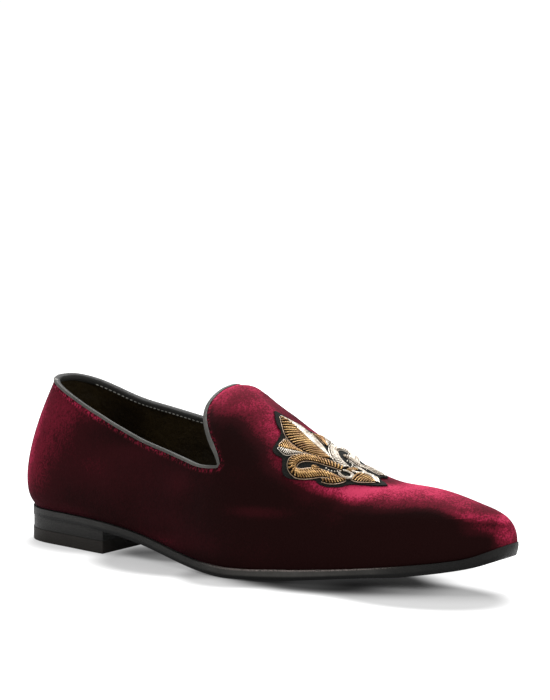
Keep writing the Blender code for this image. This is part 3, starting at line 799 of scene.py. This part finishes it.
# name: sides, spacing and lean of the bullion, knobs along each length, gold or silver, solid it stands for
FIGURE = {
    "leaf_near": (sides(SPLIT, LEAF_NEAR), 1.6, 0.14, 0, "gold", "crest_leaf"),
    "leaf_far": (sides(SPLIT, LEAF_FAR), 1.05, 0.14, 0, "silver", None),
    "side_leaf_near": (sides(SIDE_MIDDLE, SIDE_UPPER), 1.3, 0.1, 0, "gold", "crest_side_leaf_outer"),
    "side_leaf_near_edge": (sides(SIDE_MIDDLE, SIDE_LOWER), 1.0, 0.1, 0, "silver", None),
    "side_leaf_far": (sides(far(SIDE_MIDDLE), far(SIDE_UPPER)), 1.3, 0.1, 0, "gold", None),
    "side_leaf_far_edge": (sides(far(SIDE_MIDDLE), far(SIDE_LOWER)), 1.0, 0.1, 0, "silver", "crest_side_leaf_inner"),
    "scroll_near": (ribbon(SCROLL), 1.6, 0.05, 2, "gold", "crest_scroll_outer"),
    "scroll_far": (ribbon(far(SCROLL)), 1.5, -0.03, 2, "silver", "crest_scroll_inner"),
    "spur_near": (sides(SPUR_LEFT, SPUR_RIGHT), 1.2, 0.0, 2, "gold", None),
    "spur_far": (sides(far(SPUR_LEFT), far(SPUR_RIGHT)), 1.1, 0.0, 2, "silver", None),
    "curl_near": (ribbon(CURL), 1.5, 0.05, 2, "gold", "crest_lower_curl_outer"),
    "curl_far": (ribbon(CURL_FAR), 1.3, 0.05, 2, "silver", "crest_lower_curl_inner"),
    "band": (ribbon(BAND), 1.2, 0.0, 2, "gold", None),
    "ring_near": (ribbon(RING), 1.0, 0.0, 2, "silver", "crest_band"),
    "ring_far": (ribbon(far(RING)), 1.0, 0.0, 2, "silver", None),
    "tail_near": (sides(TAIL_MIDDLE, TAIL_NEAR), 1.3, 0.1, 0, "gold", "crest_tail"),
    "tail_far": (sides(TAIL_MIDDLE, TAIL_FAR), 1.3, 0.1, 0, "gold", None),
    "tail_tip": (sides(TAIL_FAR, TAIL_TIP), 1.0, 0.0, 0, "silver", None),
}
print(f"{len(FIGURE)} parts drawn, {sum(row[4] == 'gold' for row in FIGURE.values())} of them gold")

# %% [markdown]
# Under the bullion lies stiff padding, which shows only as dark lines where two lengths part; its near-black colour
# is partly painted shade for those gaps. It fills each part from side to side, domed like the bullion but a little
# lower, so that the figure stands up from the felt.

# %% Padding and bullion
ACROSS = np.array([0.0, 0.12, 0.3, 0.5, 0.7, 0.88, 1.0])
PADDING_TOP, PADDING_FOOT = FELT_TOP - 0.02, FELT_TOP - 0.15
FULLNESS = {"silver": (0.41, 0.41), "gold": (0.42, 0.35)}  # radius to spacing, for plain and for knobbed lengths


def padding_rows(left, right):
    """Closed domed plate between two lines."""
    flat = left[::3, None] * (1 - ACROSS[None, :, None]) + right[::3, None] * ACROSS[None, :, None]
    size = np.linalg.norm(right[::3] - left[::3], axis=1)
    top = on_vamp(flat[..., 0], flat[..., 1], PADDING_TOP + dome(size, ACROSS))
    bottom = on_vamp(flat[..., 0], flat[..., 1], PADDING_FOOT)
    n, m = flat.shape[:2]
    ids = np.arange(n * m).reshape(n, m)
    faces = []
    for q in (ids, ids + n * m):
        faces += quads(q[:-1, :-1], q[1:, :-1], q[1:, 1:], q[:-1, 1:])
    rim_ids = np.concatenate([ids[:, 0], ids[-1, 1:], ids[-2::-1, -1], ids[0, -2:0:-1]])
    after = np.roll(rim_ids, -1)
    faces += quads(rim_ids, after, after + n * m, rim_ids + n * m)
    return np.vstack([top.reshape(-1, 3), bottom.reshape(-1, 3)]), faces


crest_pieces = {}
for name, ((left, right), pitch, lean, knobs, metal, node) in FIGURE.items():
    thick = pitch * FULLNESS[metal][knobs > 0]
    points, faces, coil, crown = purl_rows(left, right, pitch, lean, thick, knobs)
    piece = mesh_piece("bullion_" + name, points, faces)
    mark(piece, "coil", coil)
    mark(piece, "crown", crown)
    crest_pieces[name] = piece
    points, faces = padding_rows(left, right)
    crest_pieces["padding_" + name] = mesh_piece("padding_" + name, points, faces)
bullion_faces = sum(len(p.data.polygons) for p in crest_pieces.values())
print(f"bullion and padding: {bullion_faces} faces")

# %% [markdown]
# A pair of fine wires twisted together is couched round each part. It could be two helices; here one tube carries both
# strands, because its section is pinched at two sides and turns as it goes along, which looks the same with half the
# faces.

# %% Twisted wire edging
TWIST, WIRE, WIRE_SIDES, WIRE_STEP = 1.3, 0.21, 8, 0.28  # a full twist, radius, sides, step along
PINCH, WIRE_OFF, WIRE_HEIGHT = 0.32, 0.5, FELT_TOP + 0.25  # pinch of the section, distance off the part, height


def wire_rows(line, height):
    """A two-strand twisted tube along a line of the drawing, closed at its ends."""
    line = curve(line, max(6, round(run_along(line)[-1] / WIRE_STEP)))
    across, run = to_left(unit(np.gradient(line, axis=0))), run_along(line)
    turn = 2 * np.pi * np.arange(WIRE_SIDES) / WIRE_SIDES
    radius = WIRE * (1.0 + PINCH * np.cos(2 * (turn[None] - 2 * np.pi * run[:, None] / TWIST)))
    wide, tall = radius * np.cos(turn), radius * np.sin(turn)
    flat = line[:, None] + across[:, None] * wide[..., None]
    points = on_vamp(flat[..., 0], flat[..., 1], height + tall)
    n = len(line)
    ids = np.arange(n * WIRE_SIDES).reshape(n, WIRE_SIDES)
    beside = np.roll(ids, -1, axis=1)
    faces = quads(ids[:-1], beside[:-1], beside[1:], ids[1:])
    return points.reshape(-1, 3), faces + [tuple(ids[0]), tuple(ids[-1])]


def joined(name, parts):
    """One piece from several sets of points and faces."""
    faces, before = [], 0
    for points, corners in parts:
        faces += [tuple(before + k for k in face) for face in corners]
        before += len(points)
    piece = mesh_piece(name, np.vstack([points for points, _ in parts]), faces)
    mark(piece, "crown", 1.0)
    print(f"{name}: {len(faces)} faces")
    return piece


EDGED = ("leaf_near", "leaf_far", "side_leaf_near", "side_leaf_near_edge", "side_leaf_far", "side_leaf_far_edge",
         "scroll_near", "scroll_far", "curl_near", "curl_far", "tail_near", "tail_tip")
wires = {"gold": [], "silver": []}
for name in EDGED:
    (left, right), _, _, _, metal, _ = FIGURE[name]
    pairs = [(left, right), (right, left)] if name.startswith(("scroll", "curl")) else [(right, left)]
    for line, inner in pairs:
        away = line - inner
        away /= np.maximum(np.linalg.norm(away, axis=1, keepdims=True), 0.3)
        wires[metal].append(wire_rows(line + away * WIRE_OFF, WIRE_HEIGHT))
for metal, parts in wires.items():
    crest_pieces["wire_" + metal] = joined(metal + "_wire_edging", parts)

# %% [markdown]
# A short row of silver knots leads from each scroll to the rings. The ball of the stitches serves again, round this
# time.

# %% Silver knots
KNOT_SIZE = (0.95, 0.95, 0.9)
knot = stitch_points / np.array(STITCH_SIZE) * KNOT_SIZE
spots = np.vstack([curve(table, 6) for table in (KNOTS, far(KNOTS))])
seats = on_vamp(spots[:, 0], spots[:, 1], LAID)
crest_pieces["knots"] = joined("silver_knots", [(seat + knot, stitch_faces) for seat in seats])

# %% [markdown]
# Materials are node graphs with no pictures in them. As in Blender's own shader editor, one graph is open at a time:
# starting a material or a group opens it, put adds a node to the open graph, and feed links a result to its shader.
# A group is an effect that several materials share, each with its own values.


# %% Helpers for materials
def put(kind, inputs=(), **settings):
    """A new node in the open graph; an input given as a socket is linked, any other value is set."""
    made = tree.nodes.new("ShaderNode" + kind)
    for key, value in settings.items():
        setattr(made, key, value)
    for key, value in dict(inputs).items():
        if isinstance(value, bpy.types.NodeSocket):
            tree.links.new(value, made.inputs[key])
        else:
            made.inputs[key].default_value = value
    return made


def sums(operation, *values):
    return put("Math", dict(enumerate(values)), operation=operation).outputs[0]


def times(first, second):
    return sums("MULTIPLY", first, second)


def plus(first, second):
    return sums("ADD", first, second)


def ramp(value, low, high, to=(0.0, 1.0)):
    """Soft step of a value from low to high."""
    inputs = {"Value": value, "From Min": low, "From Max": high, "To Min": to[0], "To Max": to[1]}
    return put("MapRange", inputs, interpolation_type="SMOOTHSTEP").outputs[0]


def mix(share, first, second):
    """Colour between two colours."""
    colours = [c if isinstance(c, bpy.types.NodeSocket) else (*c, 1.0) for c in (first, second)]
    return put("Mix", {0: share, 6: colours[0], 7: colours[1]}, data_type="RGBA").outputs[2]


def own_place():
    """The piece's own coordinates."""
    return put("TexCoord").outputs["Object"]


def kept_value(key):
    """A value that was kept at the points of the piece."""
    return put("Attribute", attribute_name=key).outputs["Fac"]


def bump(height, depth, under=None):
    """Normal bent by a height, so many millimetres deep, over a coarser bump if there is one."""
    inputs = {"Height": height, "Distance": depth * MM, "Strength": 1.0}
    return put("Bump", inputs if under is None else {**inputs, "Normal": under}).outputs[0]


def new_group(name, sizes, outputs):
    """Open a new group, which reads a place and sizes in millimetres."""
    global tree
    tree = bpy.data.node_groups.new(name, "ShaderNodeTree")
    sockets = [("Vector", "INPUT", "Vector"), *((size, "INPUT", "Float") for size in sizes)]
    for socket, direction, kind in sockets + [(output, "OUTPUT", "Float") for output in outputs]:
        tree.interface.new_socket(name=socket, in_out=direction, socket_type="NodeSocket" + kind)
    return tree, tree.nodes.new("NodeGroupInput").outputs, tree.nodes.new("NodeGroupOutput").inputs


def use(group, *sizes, at=None):
    """A shared effect with its sizes, read at the piece's own coordinates if no others are given."""
    inputs = {0: own_place() if at is None else at, **dict(enumerate(sizes, 1))}
    return put("Group", inputs, node_tree=group).outputs


def new_material(name, **sockets):
    """Open a new material; plain values go straight on the Principled shader's own sockets."""
    global tree, shader
    material = bpy.data.materials.new(name)
    material.use_nodes = True
    tree = material.node_tree
    shader = tree.nodes["Principled BSDF"]
    for key, value in sockets.items():
        shader.inputs[key.replace("_", " ")].default_value = value
    return material


def feed(socket, value):
    tree.links.new(value, shader.inputs[socket])


def dress(material, *pieces):
    for piece in pieces:
        piece.data.materials.clear()
        piece.data.materials.append(material)


# %% [markdown]
# Two effects turn up again and again. Speckle is a fine grain with slow clouds behind it, for pile, felt and worn
# edges. Hide grain is a net of soft pebbles, for every leather of the shoe. Both read the piece's own coordinates and
# take their size in millimetres.

# %% Shared effects
speckle, given, result = new_group("speckle", ("Grain mm", "Clouds mm"), ("Grain", "Clouds"))
for effect, detail in (("Grain", 1.0), ("Clouds", 4.0)):
    scale = sums("DIVIDE", 1000.0, given[effect + " mm"])
    noise = put("TexNoise", {"Vector": given["Vector"], "Scale": scale, "Detail": detail, "Roughness": 0.6})
    tree.links.new(noise.outputs[0], result[effect])

hide, given, result = new_group("hide_grain", ("Pebble mm",), ("Height", "Tone"))
scale = sums("DIVIDE", 1000.0, given["Pebble mm"])
pebbles = {"Vector": given["Vector"], "Scale": scale}
wander = put("TexNoise", {**pebbles, "Detail": 2.0}).outputs[0]
cells = put("TexVoronoi", pebbles, feature="DISTANCE_TO_EDGE").outputs["Distance"]
slow = put("TexNoise", {**pebbles, "Scale": times(scale, 0.04), "Detail": 3.0}).outputs[0]
tree.links.new(plus(ramp(cells, 0.0, 0.25), times(wander, 0.8)), result["Height"])
tree.links.new(slow, result["Tone"])
print("shared effects:", [group.name for group in (speckle, hide)])

# %% [markdown]
# Velvet stands on end. Where light falls along the fibres the eye looks between them and the cloth is nearly black;
# where it falls on their sides the cloth is crimson. Here that light is painted into the pile's colour: all that looks
# upward is painted lit crimson and the rest painted dark, so how far each place looks up is kept as an attribute.
# Pile also lies one way or another: listed marks change it, partly as brushed pile and partly as painted highlight and
# shade. Clouds and fine grain break the border up, and sheen lights the outline. Right under the binding a painted
# highlight stands for the cut pile catching the light.

# %% Velvet
# side, x, z, radius along, radius up, strength of each mark; millimetres. The marks are partly brushed pile and partly
# painted light: a positive one paints highlight, a negative one paints shade
NAP_AND_LIGHT_MARKS = (
    (-1, -132, 44, 18, 40, 0.34), (1, -140, 55, 14, 30, 0.55), (-1, -122, 74, 20, 14, 0.24),
    (-1, -106, 66, 16, 16, 0.16), (-1, -100, 48, 40, 22, 0.18), (-1, -48, 46, 36, 16, 0.08),
    (-1, -50, 30, 80, 40, 0.12), (-1, -84, 46, 12, 7, 0.1), (-1, -62, 55, 16, 5, 0.1), (-1, -36, 13, 30, 5, 0.1),
    (-1, -30, 24, 26, 8, 0.1), (-1, -18, 46, 18, 8, 0.1), (-1, -4, 16, 14, 6, 0.1), (-1, 33, 34.5, 16, 3, 0.28),
    (-1, 30, 57, 8, 8, 0.12), (-1, 44, 50, 8, 6, 0.1), (-1, 56, 44, 9, 6, 0.26), (-1, 74, 45, 8, 3, 0.2),
    (-1, 70, 37, 8, 5, 0.13), (-1, 0, 66, 5, 14, 0.26), (-1, -6, 77, 5, 8, 0.2), (-1, -4, 87, 8, 6, -0.12),
    (-1, 2, 84, 26, 16, -0.36), (1, 2, 84, 26, 16, -0.36), (-1, 25, 64, 12, 8, -0.28), (1, 24, 74, 14, 8, -0.35),
    (1, 80, 49, 9, 5, -0.6), (-1, 84, 41, 8, 3.5, -0.26), (-1, 97, 40.5, 17, 3.5, -0.34), (-1, 120, 39, 16, 7, -0.38),
    (1, 120, 40, 16, 8, -0.34), (-1, 114, 37.5, 8, 3, -0.15), (-1, 138, 38.5, 9, 3.8, -0.42),
    (1, 138, 38.5, 9, 3.8, -0.42), (-1, 137, 30, 9, 4.5, 0.37), (-1, 143, 35.5, 5, 2.5, -0.12),
    (1, 143, 35.5, 5, 2.5, -0.16), (-1, 148, 28, 7, 11, 0.74), (1, 148, 28, 7, 11, 0.74),
    (-1, 131, 34, 11, 2.8, 0.28), (1, 139.5, 33.5, 4, 2.8, 0.2), (1, 143.5, 36.5, 5, 3, -0.24),
    (-1, 130, 37.5, 8, 2, -0.1), (-1, 143, 24.5, 5, 4.5, -0.3), (1, 147, 24.5, 2.5, 4, -0.1),
    (-1, 113, 30, 10, 3, -0.22), (-1, 101, 42, 8, 3.5, -0.07), (-1, 100, 17, 32, 8, -0.05),
    (-1, 32, 14, 36, 12, 0.08), (-1, 17, 59, 9, 11, 0.15), (-1, -22, 44, 10, 7, 0.08), (-1, -45, 57, 16, 3.5, 0.1),
    (-1, -90, 72, 15, 5, 0.2), (-1, -9, 78, 4, 5, 0.12), (-1, -2, 87, 6, 4, -0.1), (-1, -106, 19, 18, 4, 0.2),
    (-1, -30, 12, 14, 4, 0.18), (-1, 72, 31, 10, 6, 0.08), (-1, -124, 83, 6, 4, 0.18), (-1, -110, 78, 14, 5, 0.12),
    (-1, -130.5, 76, 3.5, 8, 0.2), (-1, -133, 64, 4, 8, 0.24), (-1, -136.5, 51, 4, 8, 0.28),
    (-1, -140, 36, 4.5, 9, 0.28), (1, 144, 34.5, 6.5, 4, -0.15), (1, 13, 80, 9, 5, -0.14), (1, -128, 62, 8, 24, 0.2),
    (1, -100, 60, 40, 20, 0.14), (1, -40, 40, 30, 9, 0.1), (1, 60, 34, 26, 8, 0.1),
)
UPWARD = (0.56, 0.87)  # upward share of the normal where the painted light on the pile starts, and where it is full
VELVET_THICK, LINING_THICK = 0.9 * MM, 0.7 * MM

rows = places(velvet.data) / MM
share = share_of(np.array([v.normal.z for v in velvet.data.vertices]), *UPWARD)
nap_and_painted_light = share**2 * (3.0 - 2.0 * share)
for side, x, z, along, up, strength in NAP_AND_LIGHT_MARKS:
    spot = ((rows[:, 0] - x) / along) ** 2 + ((rows[:, 2] - z) / up) ** 2
    nap_and_painted_light += strength * np.exp(-spot) / (1.0 + np.exp(-1.2 * side * rows[:, 1]))
near_rim = nearest(along_collar(ring_place, rim))
mark(velvet, "nap_and_painted_light", nap_and_painted_light)
mark(velvet, "from_collar", [near_rim.find(p)[2] for p in rows])
apply(velvet, "SOLIDIFY", thickness=VELVET_THICK, offset=-1.0)
apply(lining, "SOLIDIFY", thickness=LINING_THICK, offset=-1.0)
print(f"{len(NAP_AND_LIGHT_MARKS)} brushed_and_painted marks, shine from {nap_and_painted_light.min():.2f} to {nap_and_painted_light.max():.2f}")

PILE_SHADE_TO_LIGHT = ((0.08, (0.0126, 0.0032, 0.0031)), (0.32, (0.030, 0.0044, 0.0058)), (0.55, (0.150, 0.0100, 0.0230)),
        (0.78, (0.380, 0.0210, 0.0620)), (1.05, (0.640, 0.0480, 0.1230)))  # level of painted light, colour of the pile from painted shade to painted light
velvet_cloth = new_material(
    "burgundy_velvet", Roughness=0.9, Specular_IOR_Level=0.05, Sheen_Weight=0.1, Sheen_Roughness=0.35,
    Sheen_Tint=(1.0, 0.2, 0.38, 1.0),
)
threads = put("VectorMath", {0: own_place(), 1: (1.0, 0.55, 0.6)}, operation="MULTIPLY").outputs[0]  # drawn out across
pile, tufts = use(speckle, 0.9, 26.0, at=threads), use(speckle, 0.45, 5.0, at=threads)
# painted light: the pile is lit crimson where it looks upward and at the marks, and dark elsewhere
lifted = kept_value("nap_and_painted_light")
rough = ramp(lifted, 0.3, 0.9, (0.2, 1.1))  # pile in painted shade shows little of its grain
for noise, amount in ((pile["Clouds"], 0.07), (tufts["Clouds"], 0.07), (pile["Grain"], 0.13), (tufts["Grain"], 0.08)):
    lifted = plus(lifted, times(ramp(noise, 0.3, 0.7, (-amount, amount)), rough))
# painted highlight on the cut pile right under the binding
cut_edge_highlight = times(ramp(kept_value("from_collar"), 4.4, 2.2), ramp(pile["Grain"], 0.34, 0.66))
lifted = plus(lifted, times(cut_edge_highlight, 0.42))
colour = PILE_SHADE_TO_LIGHT[0][1]
for (low, _), (high, lighter) in zip(PILE_SHADE_TO_LIGHT, PILE_SHADE_TO_LIGHT[1:]):
    colour = mix(ramp(lifted, low, high), colour, lighter)
feed("Base Color", colour)
feed("Normal", bump(pile["Grain"], 0.14, bump(pile["Clouds"], 0.8)))
dress(velvet_cloth, velvet)

# %% [markdown]
# The leathers share the hide grain at different sizes. The binding is a matt grey-black strip with fine ribs across
# it, which follow its own length. The lining and the sock are dark brown-black calf with a soft sheen.

# %% Binding, stitches, lining and sock
RIB = 0.62  # from one rib of the binding to the next
binding_leather = new_material("binding_leather", Specular_IOR_Level=0.35)
grain = use(hide, 0.55)
strip_along, strip_over, _ = put("SeparateXYZ", {0: put("UVMap", uv_map="ribs").outputs[0]}).outputs
rib = sums("SINE", times(strip_along, 2 * math.pi / RIB))
tone = ramp(plus(grain["Tone"], times(rib, 0.05)), 0.3, 0.7)
colour = mix(tone, (0.075, 0.073, 0.066), (0.125, 0.122, 0.111))
for low, high, painted_shade in ((2.5, 3.4, (0.022, 0.0215, 0.0195)), (5.0, 5.9, (0.042, 0.041, 0.037))):  # painted shade on the top and on the inner side
    colour = mix(ramp(strip_over, low, high), colour, painted_shade)
lap_glint = ramp(sums("ABSOLUTE", sums("SUBTRACT", strip_along, float(LAP_PLACE))), 1.1, 0.4)
lap_glint = times(times(lap_glint, ramp(strip_over, 1.4, 2.2)), ramp(strip_over, 4.4, 3.6))  # painted glint at the end of the lap
feed("Base Color", mix(lap_glint, colour, (0.42, 0.41, 0.38)))
feed("Roughness", ramp(grain["Height"], 0.2, 1.6, (0.5, 0.72)))
feed("Normal", bump(grain["Height"], 0.05, bump(rib, 0.04)))
dress(binding_leather, binding)

thread = new_material("pale_thread", Roughness=0.7, Specular_IOR_Level=0.3)
fibre = use(speckle, 0.25, 9.0)
feed("Base Color", mix(fibre["Clouds"], (0.2, 0.195, 0.17), (0.66, 0.65, 0.6)))
feed("Normal", bump(fibre["Grain"], 0.08))
dress(thread, stitches)


def calf(name, pebble, dark, light, wrinkle):
    """Dark leather with pebbles and slow wrinkles."""
    material = new_material(name, Specular_IOR_Level=0.4)
    grain, folds = use(hide, pebble), use(speckle, 6.0, 18.0)
    feed("Base Color", mix(ramp(grain["Tone"], 0.3, 0.7), dark, light))
    feed("Roughness", ramp(grain["Height"], 0.2, 1.6, (0.42, 0.62)))
    feed("Normal", bump(grain["Height"], 0.06, bump(folds["Clouds"], wrinkle)))
    return material


dress(calf("lining_calf", 0.9, (0.019, 0.0118, 0.0032), (0.042, 0.027, 0.0078), 2.6), lining)
dress(calf("sock_calf", 0.8, (0.008, 0.006, 0.004), (0.018, 0.013, 0.009), 0.6), insole)
print("dressed", binding.name, stitches.name, lining.name, insole.name)

# %% [markdown]
# Sole and heel edges are stained, waxed and burnished. Their grey changes along the shoe as a painted reflection,
# lighter where an edge faces the light and darker where it faces dark surroundings. The sole's top edge is rubbed, so
# pale specks gather there. The heel's leather is painted a little lighter toward the back for its gloss, and the rubber
# lift under it is browner and dull.


# %% Sole edge, heel stack and rubber lift
EDGE_REFLECTION_GREYS = ((-60, 0.02), (-10, 0.027), (14, 0.045), (33, 0.062), (68, 0.07), (87, 0.045), (105, 0.013), (123, 0.004),
             (139, 0.003), (147, 0.006))  # x, grey of the sole's edge, a painted reflection of what it faces


def edge_leather(name, reflection_greys, low_tone, rubbed):
    """Waxed edge, with greys along the shoe that paint its reflections, the grey of its foot, and how much of its top
    is rubbed.
    """
    material = new_material(name, Specular_IOR_Level=0.2)
    grain, dust = use(hide, 0.7), use(speckle, 0.45, 30.0)
    up, along = kept_value("up_edge"), put("SeparateXYZ", {0: own_place()}).outputs[0]
    tone = reflection_greys[0][1]
    for (low, grey), (high, next_grey) in zip(reflection_greys, reflection_greys[1:]):
        tone = plus(tone, ramp(along, low * MM, high * MM, (0.0, next_grey - grey)))
    tone = times(tone, ramp(grain["Tone"], 0.3, 0.7, (0.75, 1.25)))
    tone = plus(low_tone, times(tone, ramp(up, 0.25, 0.5)))
    colour = put("CombineColor", {0: tone, 1: times(tone, 0.95), 2: times(tone, 0.88)}).outputs[0]
    middle = times(ramp(along, -8 * MM, 26 * MM), ramp(along, 110 * MM, 80 * MM))  # the waist and the ball rub
    worn = times(ramp(up, 0.82, 1.0), ramp(dust["Grain"], 0.42, 0.62))
    worn = times(worn, times(middle, rubbed))
    feed("Base Color", mix(worn, colour, (0.46, 0.38, 0.35)))
    feed("Roughness", ramp(grain["Height"], 0.2, 1.6, (0.36, 0.56)))
    feed("Normal", bump(grain["Height"], 0.06))
    return material


dress(edge_leather("sole_edge_leather", EDGE_REFLECTION_GREYS, 0.003, 0.9), outsole)
dress(edge_leather("stack_leather", ((-150, 0.004), (-60, 0.002)), 0.013, 0.0), stack)

rubber = new_material("brown_black_rubber", Specular_IOR_Level=0.3)
skin = use(speckle, 0.35, 20.0)
feed("Base Color", mix(skin["Clouds"], (0.011, 0.009, 0.007), (0.022, 0.018, 0.0145)))
feed("Roughness", ramp(skin["Grain"], 0.3, 0.7, (0.55, 0.8)))
feed("Normal", bump(skin["Grain"], 0.05))
dress(rubber, top_lift)
print("dressed", outsole.name, stack.name, top_lift.name)

# %% [markdown]
# Felt is matt wool: grey-black with lighter hairs. Bullion is bright wire wound in a coil, so its bump runs round each
# length, and its colour darkens a little from place to place as old metal does. Little light reaches the flanks of a
# length, which lie against the next, so painted shade darkens them. The padding is dark thread, and its near-black
# colour is also painted shade for the gaps between lengths.

# %% Felt, bullion, wire and padding
COIL = 0.34  # from one turn of the coil to the next
felt_wool = new_material(
    "black_felt", Roughness=0.95, Specular_IOR_Level=0.1, Sheen_Weight=0.05, Sheen_Tint=(0.8, 0.85, 0.8, 1.0)
)
wool = use(speckle, 0.5, 4.0)["Grain"]
feed("Base Color", mix(times(ramp(wool, 0.4, 0.75), 0.6), (0.008, 0.0083, 0.0075), (0.034, 0.034, 0.031)))
feed("Normal", bump(wool, 0.25))
dress(felt_wool, felt, fibres)


def bullion(name, flank_shade, dark, light):
    """Coiled wire: its colour changes from dark to light by tarnish, and painted shade darkens the flanks of each
    length.
    """
    material = new_material(name, Metallic=0.85, Roughness=0.4)
    metal = mix(ramp(use(speckle, 0.9, 7.0)["Clouds"], 0.3, 0.65), dark, light)
    feed("Base Color", mix(ramp(kept_value("crown"), 0.3, 0.95), flank_shade, metal))
    feed("Normal", bump(sums("SINE", times(kept_value("coil"), 2 * math.pi / COIL)), 0.035))
    return material


gold = bullion("gold_bullion", (0.04, 0.014, 0.004), (0.22, 0.1, 0.03), (0.66, 0.4, 0.15))
silver = bullion("silver_bullion", (0.25, 0.19, 0.14), (0.42, 0.34, 0.26), (0.95, 0.88, 0.77))
champagne = bullion("champagne_wire", (0.06, 0.04, 0.02), (0.34, 0.22, 0.13), (0.62, 0.46, 0.33))
padding = new_material("dark_padding_painted_shade", Roughness=0.9, Specular_IOR_Level=0.1)
feed("Base Color", mix(use(speckle, 0.4, 5.0)["Grain"], (0.004, 0.003, 0.002), (0.018, 0.01, 0.005)))
for name, (_, _, _, _, metal, _) in FIGURE.items():
    dress(gold if metal == "gold" else silver, crest_pieces[name])
    dress(padding, crest_pieces["padding_" + name])
dress(champagne, crest_pieces["wire_gold"])
dress(silver, crest_pieces["wire_silver"], crest_pieces["knots"])
print(f"{len(bpy.data.materials)} materials, {len(bpy.data.node_groups)} shared effects")

# %% [markdown]
# The stage is a pale paper floor. It glows white with a light of its own that only the camera sees, and painted
# shadows hold that glow back in soft ovals where the shoe shades it: under the arch, along the ball and before the toe.
# Under the ball the paper's own colour is painted nearly black as the deepest shadow. A broad softbox hangs above, a
# weaker one stands to the right of the camera, and a white room fills the rest.

# %% Floor and light
SHADED = ((-98, 6, 54, 44, 0.5), (-28, -30, 50, 38, 0.62), (-42, -6, 36, 24, 0.6),
          (20, -46, 30, 30, 0.55), (62, -24, 64, 42, 0.97),
          (122, -38, 52, 34, 0.78))  # x, y, half-lengths, how much of the floor's glow each painted shadow holds back
DEEPEST_PAINTED_SHADOW = (60, -38, 46, 23)  # oval under the ball, where the paper is painted almost black as shadow
WHITE = (1.0, 1.0, 1.0, 1.0)
bpy.ops.mesh.primitive_plane_add(size=40.0, location=(0.0, 0.0, -0.0002))
floor = bpy.context.object
floor.name = "paper_floor"
with editing(floor, action="SELECT"):
    bpy.ops.mesh.subdivide(number_cuts=8)
bpy.ops.object.transform_apply(location=True, rotation=False, scale=False)
paper = new_material(
    "white_paper_painted_shadows", Roughness=0.9, Specular_IOR_Level=0.1, Base_Color=(0.86, 0.86, 0.86, 1.0), Emission_Color=WHITE
)
on_floor, seen = own_place(), put("LightPath").outputs["Is Camera Ray"]


def from_oval(x, y, half_x, half_y):
    """Nought in the middle of an oval on the floor and one at its edge."""
    offset = put("VectorMath", {0: on_floor, 1: (x * MM, y * MM, 0.0)}, operation="SUBTRACT").outputs[0]
    parts = {0: offset, 1: (1 / half_x / MM, 1 / half_y / MM, 0.0)}
    share = put("VectorMath", parts, operation="MULTIPLY").outputs[0]
    return put("VectorMath", {0: share}, operation="LENGTH").outputs["Value"]


glow_with_painted_shadows = seen
for *oval, held in SHADED:
    glow_with_painted_shadows = times(glow_with_painted_shadows, ramp(from_oval(*oval), 0.75, 1.2, (1.0 - held, 1.0)))
feed("Emission Strength", glow_with_painted_shadows)
# painted shadow: for the camera the paper's colour goes nearly black in the deepest oval
painted_shadow_tone = mix(ramp(from_oval(*DEEPEST_PAINTED_SHADOW), 0.5, 1.2), (0.03, 0.03, 0.03), (0.4, 0.4, 0.4))
feed("Base Color", mix(seen, (0.86, 0.86, 0.86), painted_shadow_tone))
dress(paper, floor)


def softbox(name, place, target, size, power):
    bpy.ops.object.light_add(type="AREA", location=place)
    lamp = bpy.context.object
    lamp.name = name
    lamp.rotation_euler = (Vector(target) - Vector(place)).to_track_quat("-Z", "Y").to_euler()
    lamp.data.shape = "RECTANGLE"
    lamp.data.size, lamp.data.size_y = size
    lamp.data.energy = power


softbox("overhead", (-0.5, 0.75, 1.15), (0.0, 0.0, 0.0), (0.6, 0.6), 20.0)
softbox("side", (1.3, -0.3, 0.7), (0.05, 0.0, 0.04), (0.6, 0.9), 3.0)

world = bpy.data.worlds.new("white_room")
bpy.context.scene.world = world
world.use_nodes = True
tree = world.node_tree
room = tree.nodes["Background"]
room.inputs["Color"].default_value = WHITE
strength = ramp(put("LightPath").outputs["Is Camera Ray"], 0.0, 1.0, (0.6, 1.05))
tree.links.new(strength, room.inputs["Strength"])
bpy.context.scene.view_settings.view_transform = "Standard"
print(f"floor with {len(SHADED)} shaded ovals, 2 softboxes")

# %% [markdown]
# Last, every piece is tied to the shoe's one body, and the solid it stands in for is hidden.

# %% Tie the pieces to the solids
WORN = (
    (velvet, "velvet", ("upper",)),
    (lining, "lining", ()),
    (binding, "binding", ("collar_binding",)),
    (stitches, "binding", ()),
    (outsole, "sole", ("outsole",)),
    (stack, "stack", ("heel_stack",)),
    (top_lift, "rubber", ("top_lift",)),
    (insole, "lining", ("insole",)),
    (felt, "felt", ("crest_felt",)),
    (crest_pieces["wire_gold"], "gold", ()),
    (crest_pieces["wire_silver"], "silver", ()),
    (crest_pieces["knots"], "silver", ()),
    (fibres, "felt", ()),
    *((crest_pieces[name], metal, (node,) if node else ()) for name, (_, _, _, _, metal, node) in FIGURE.items()),
    *((crest_pieces["padding_" + name], "felt", ()) for name in FIGURE),
)
for piece, finish, nodes in WORN:
    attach(piece, "root")
    if nodes:
        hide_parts(*nodes)
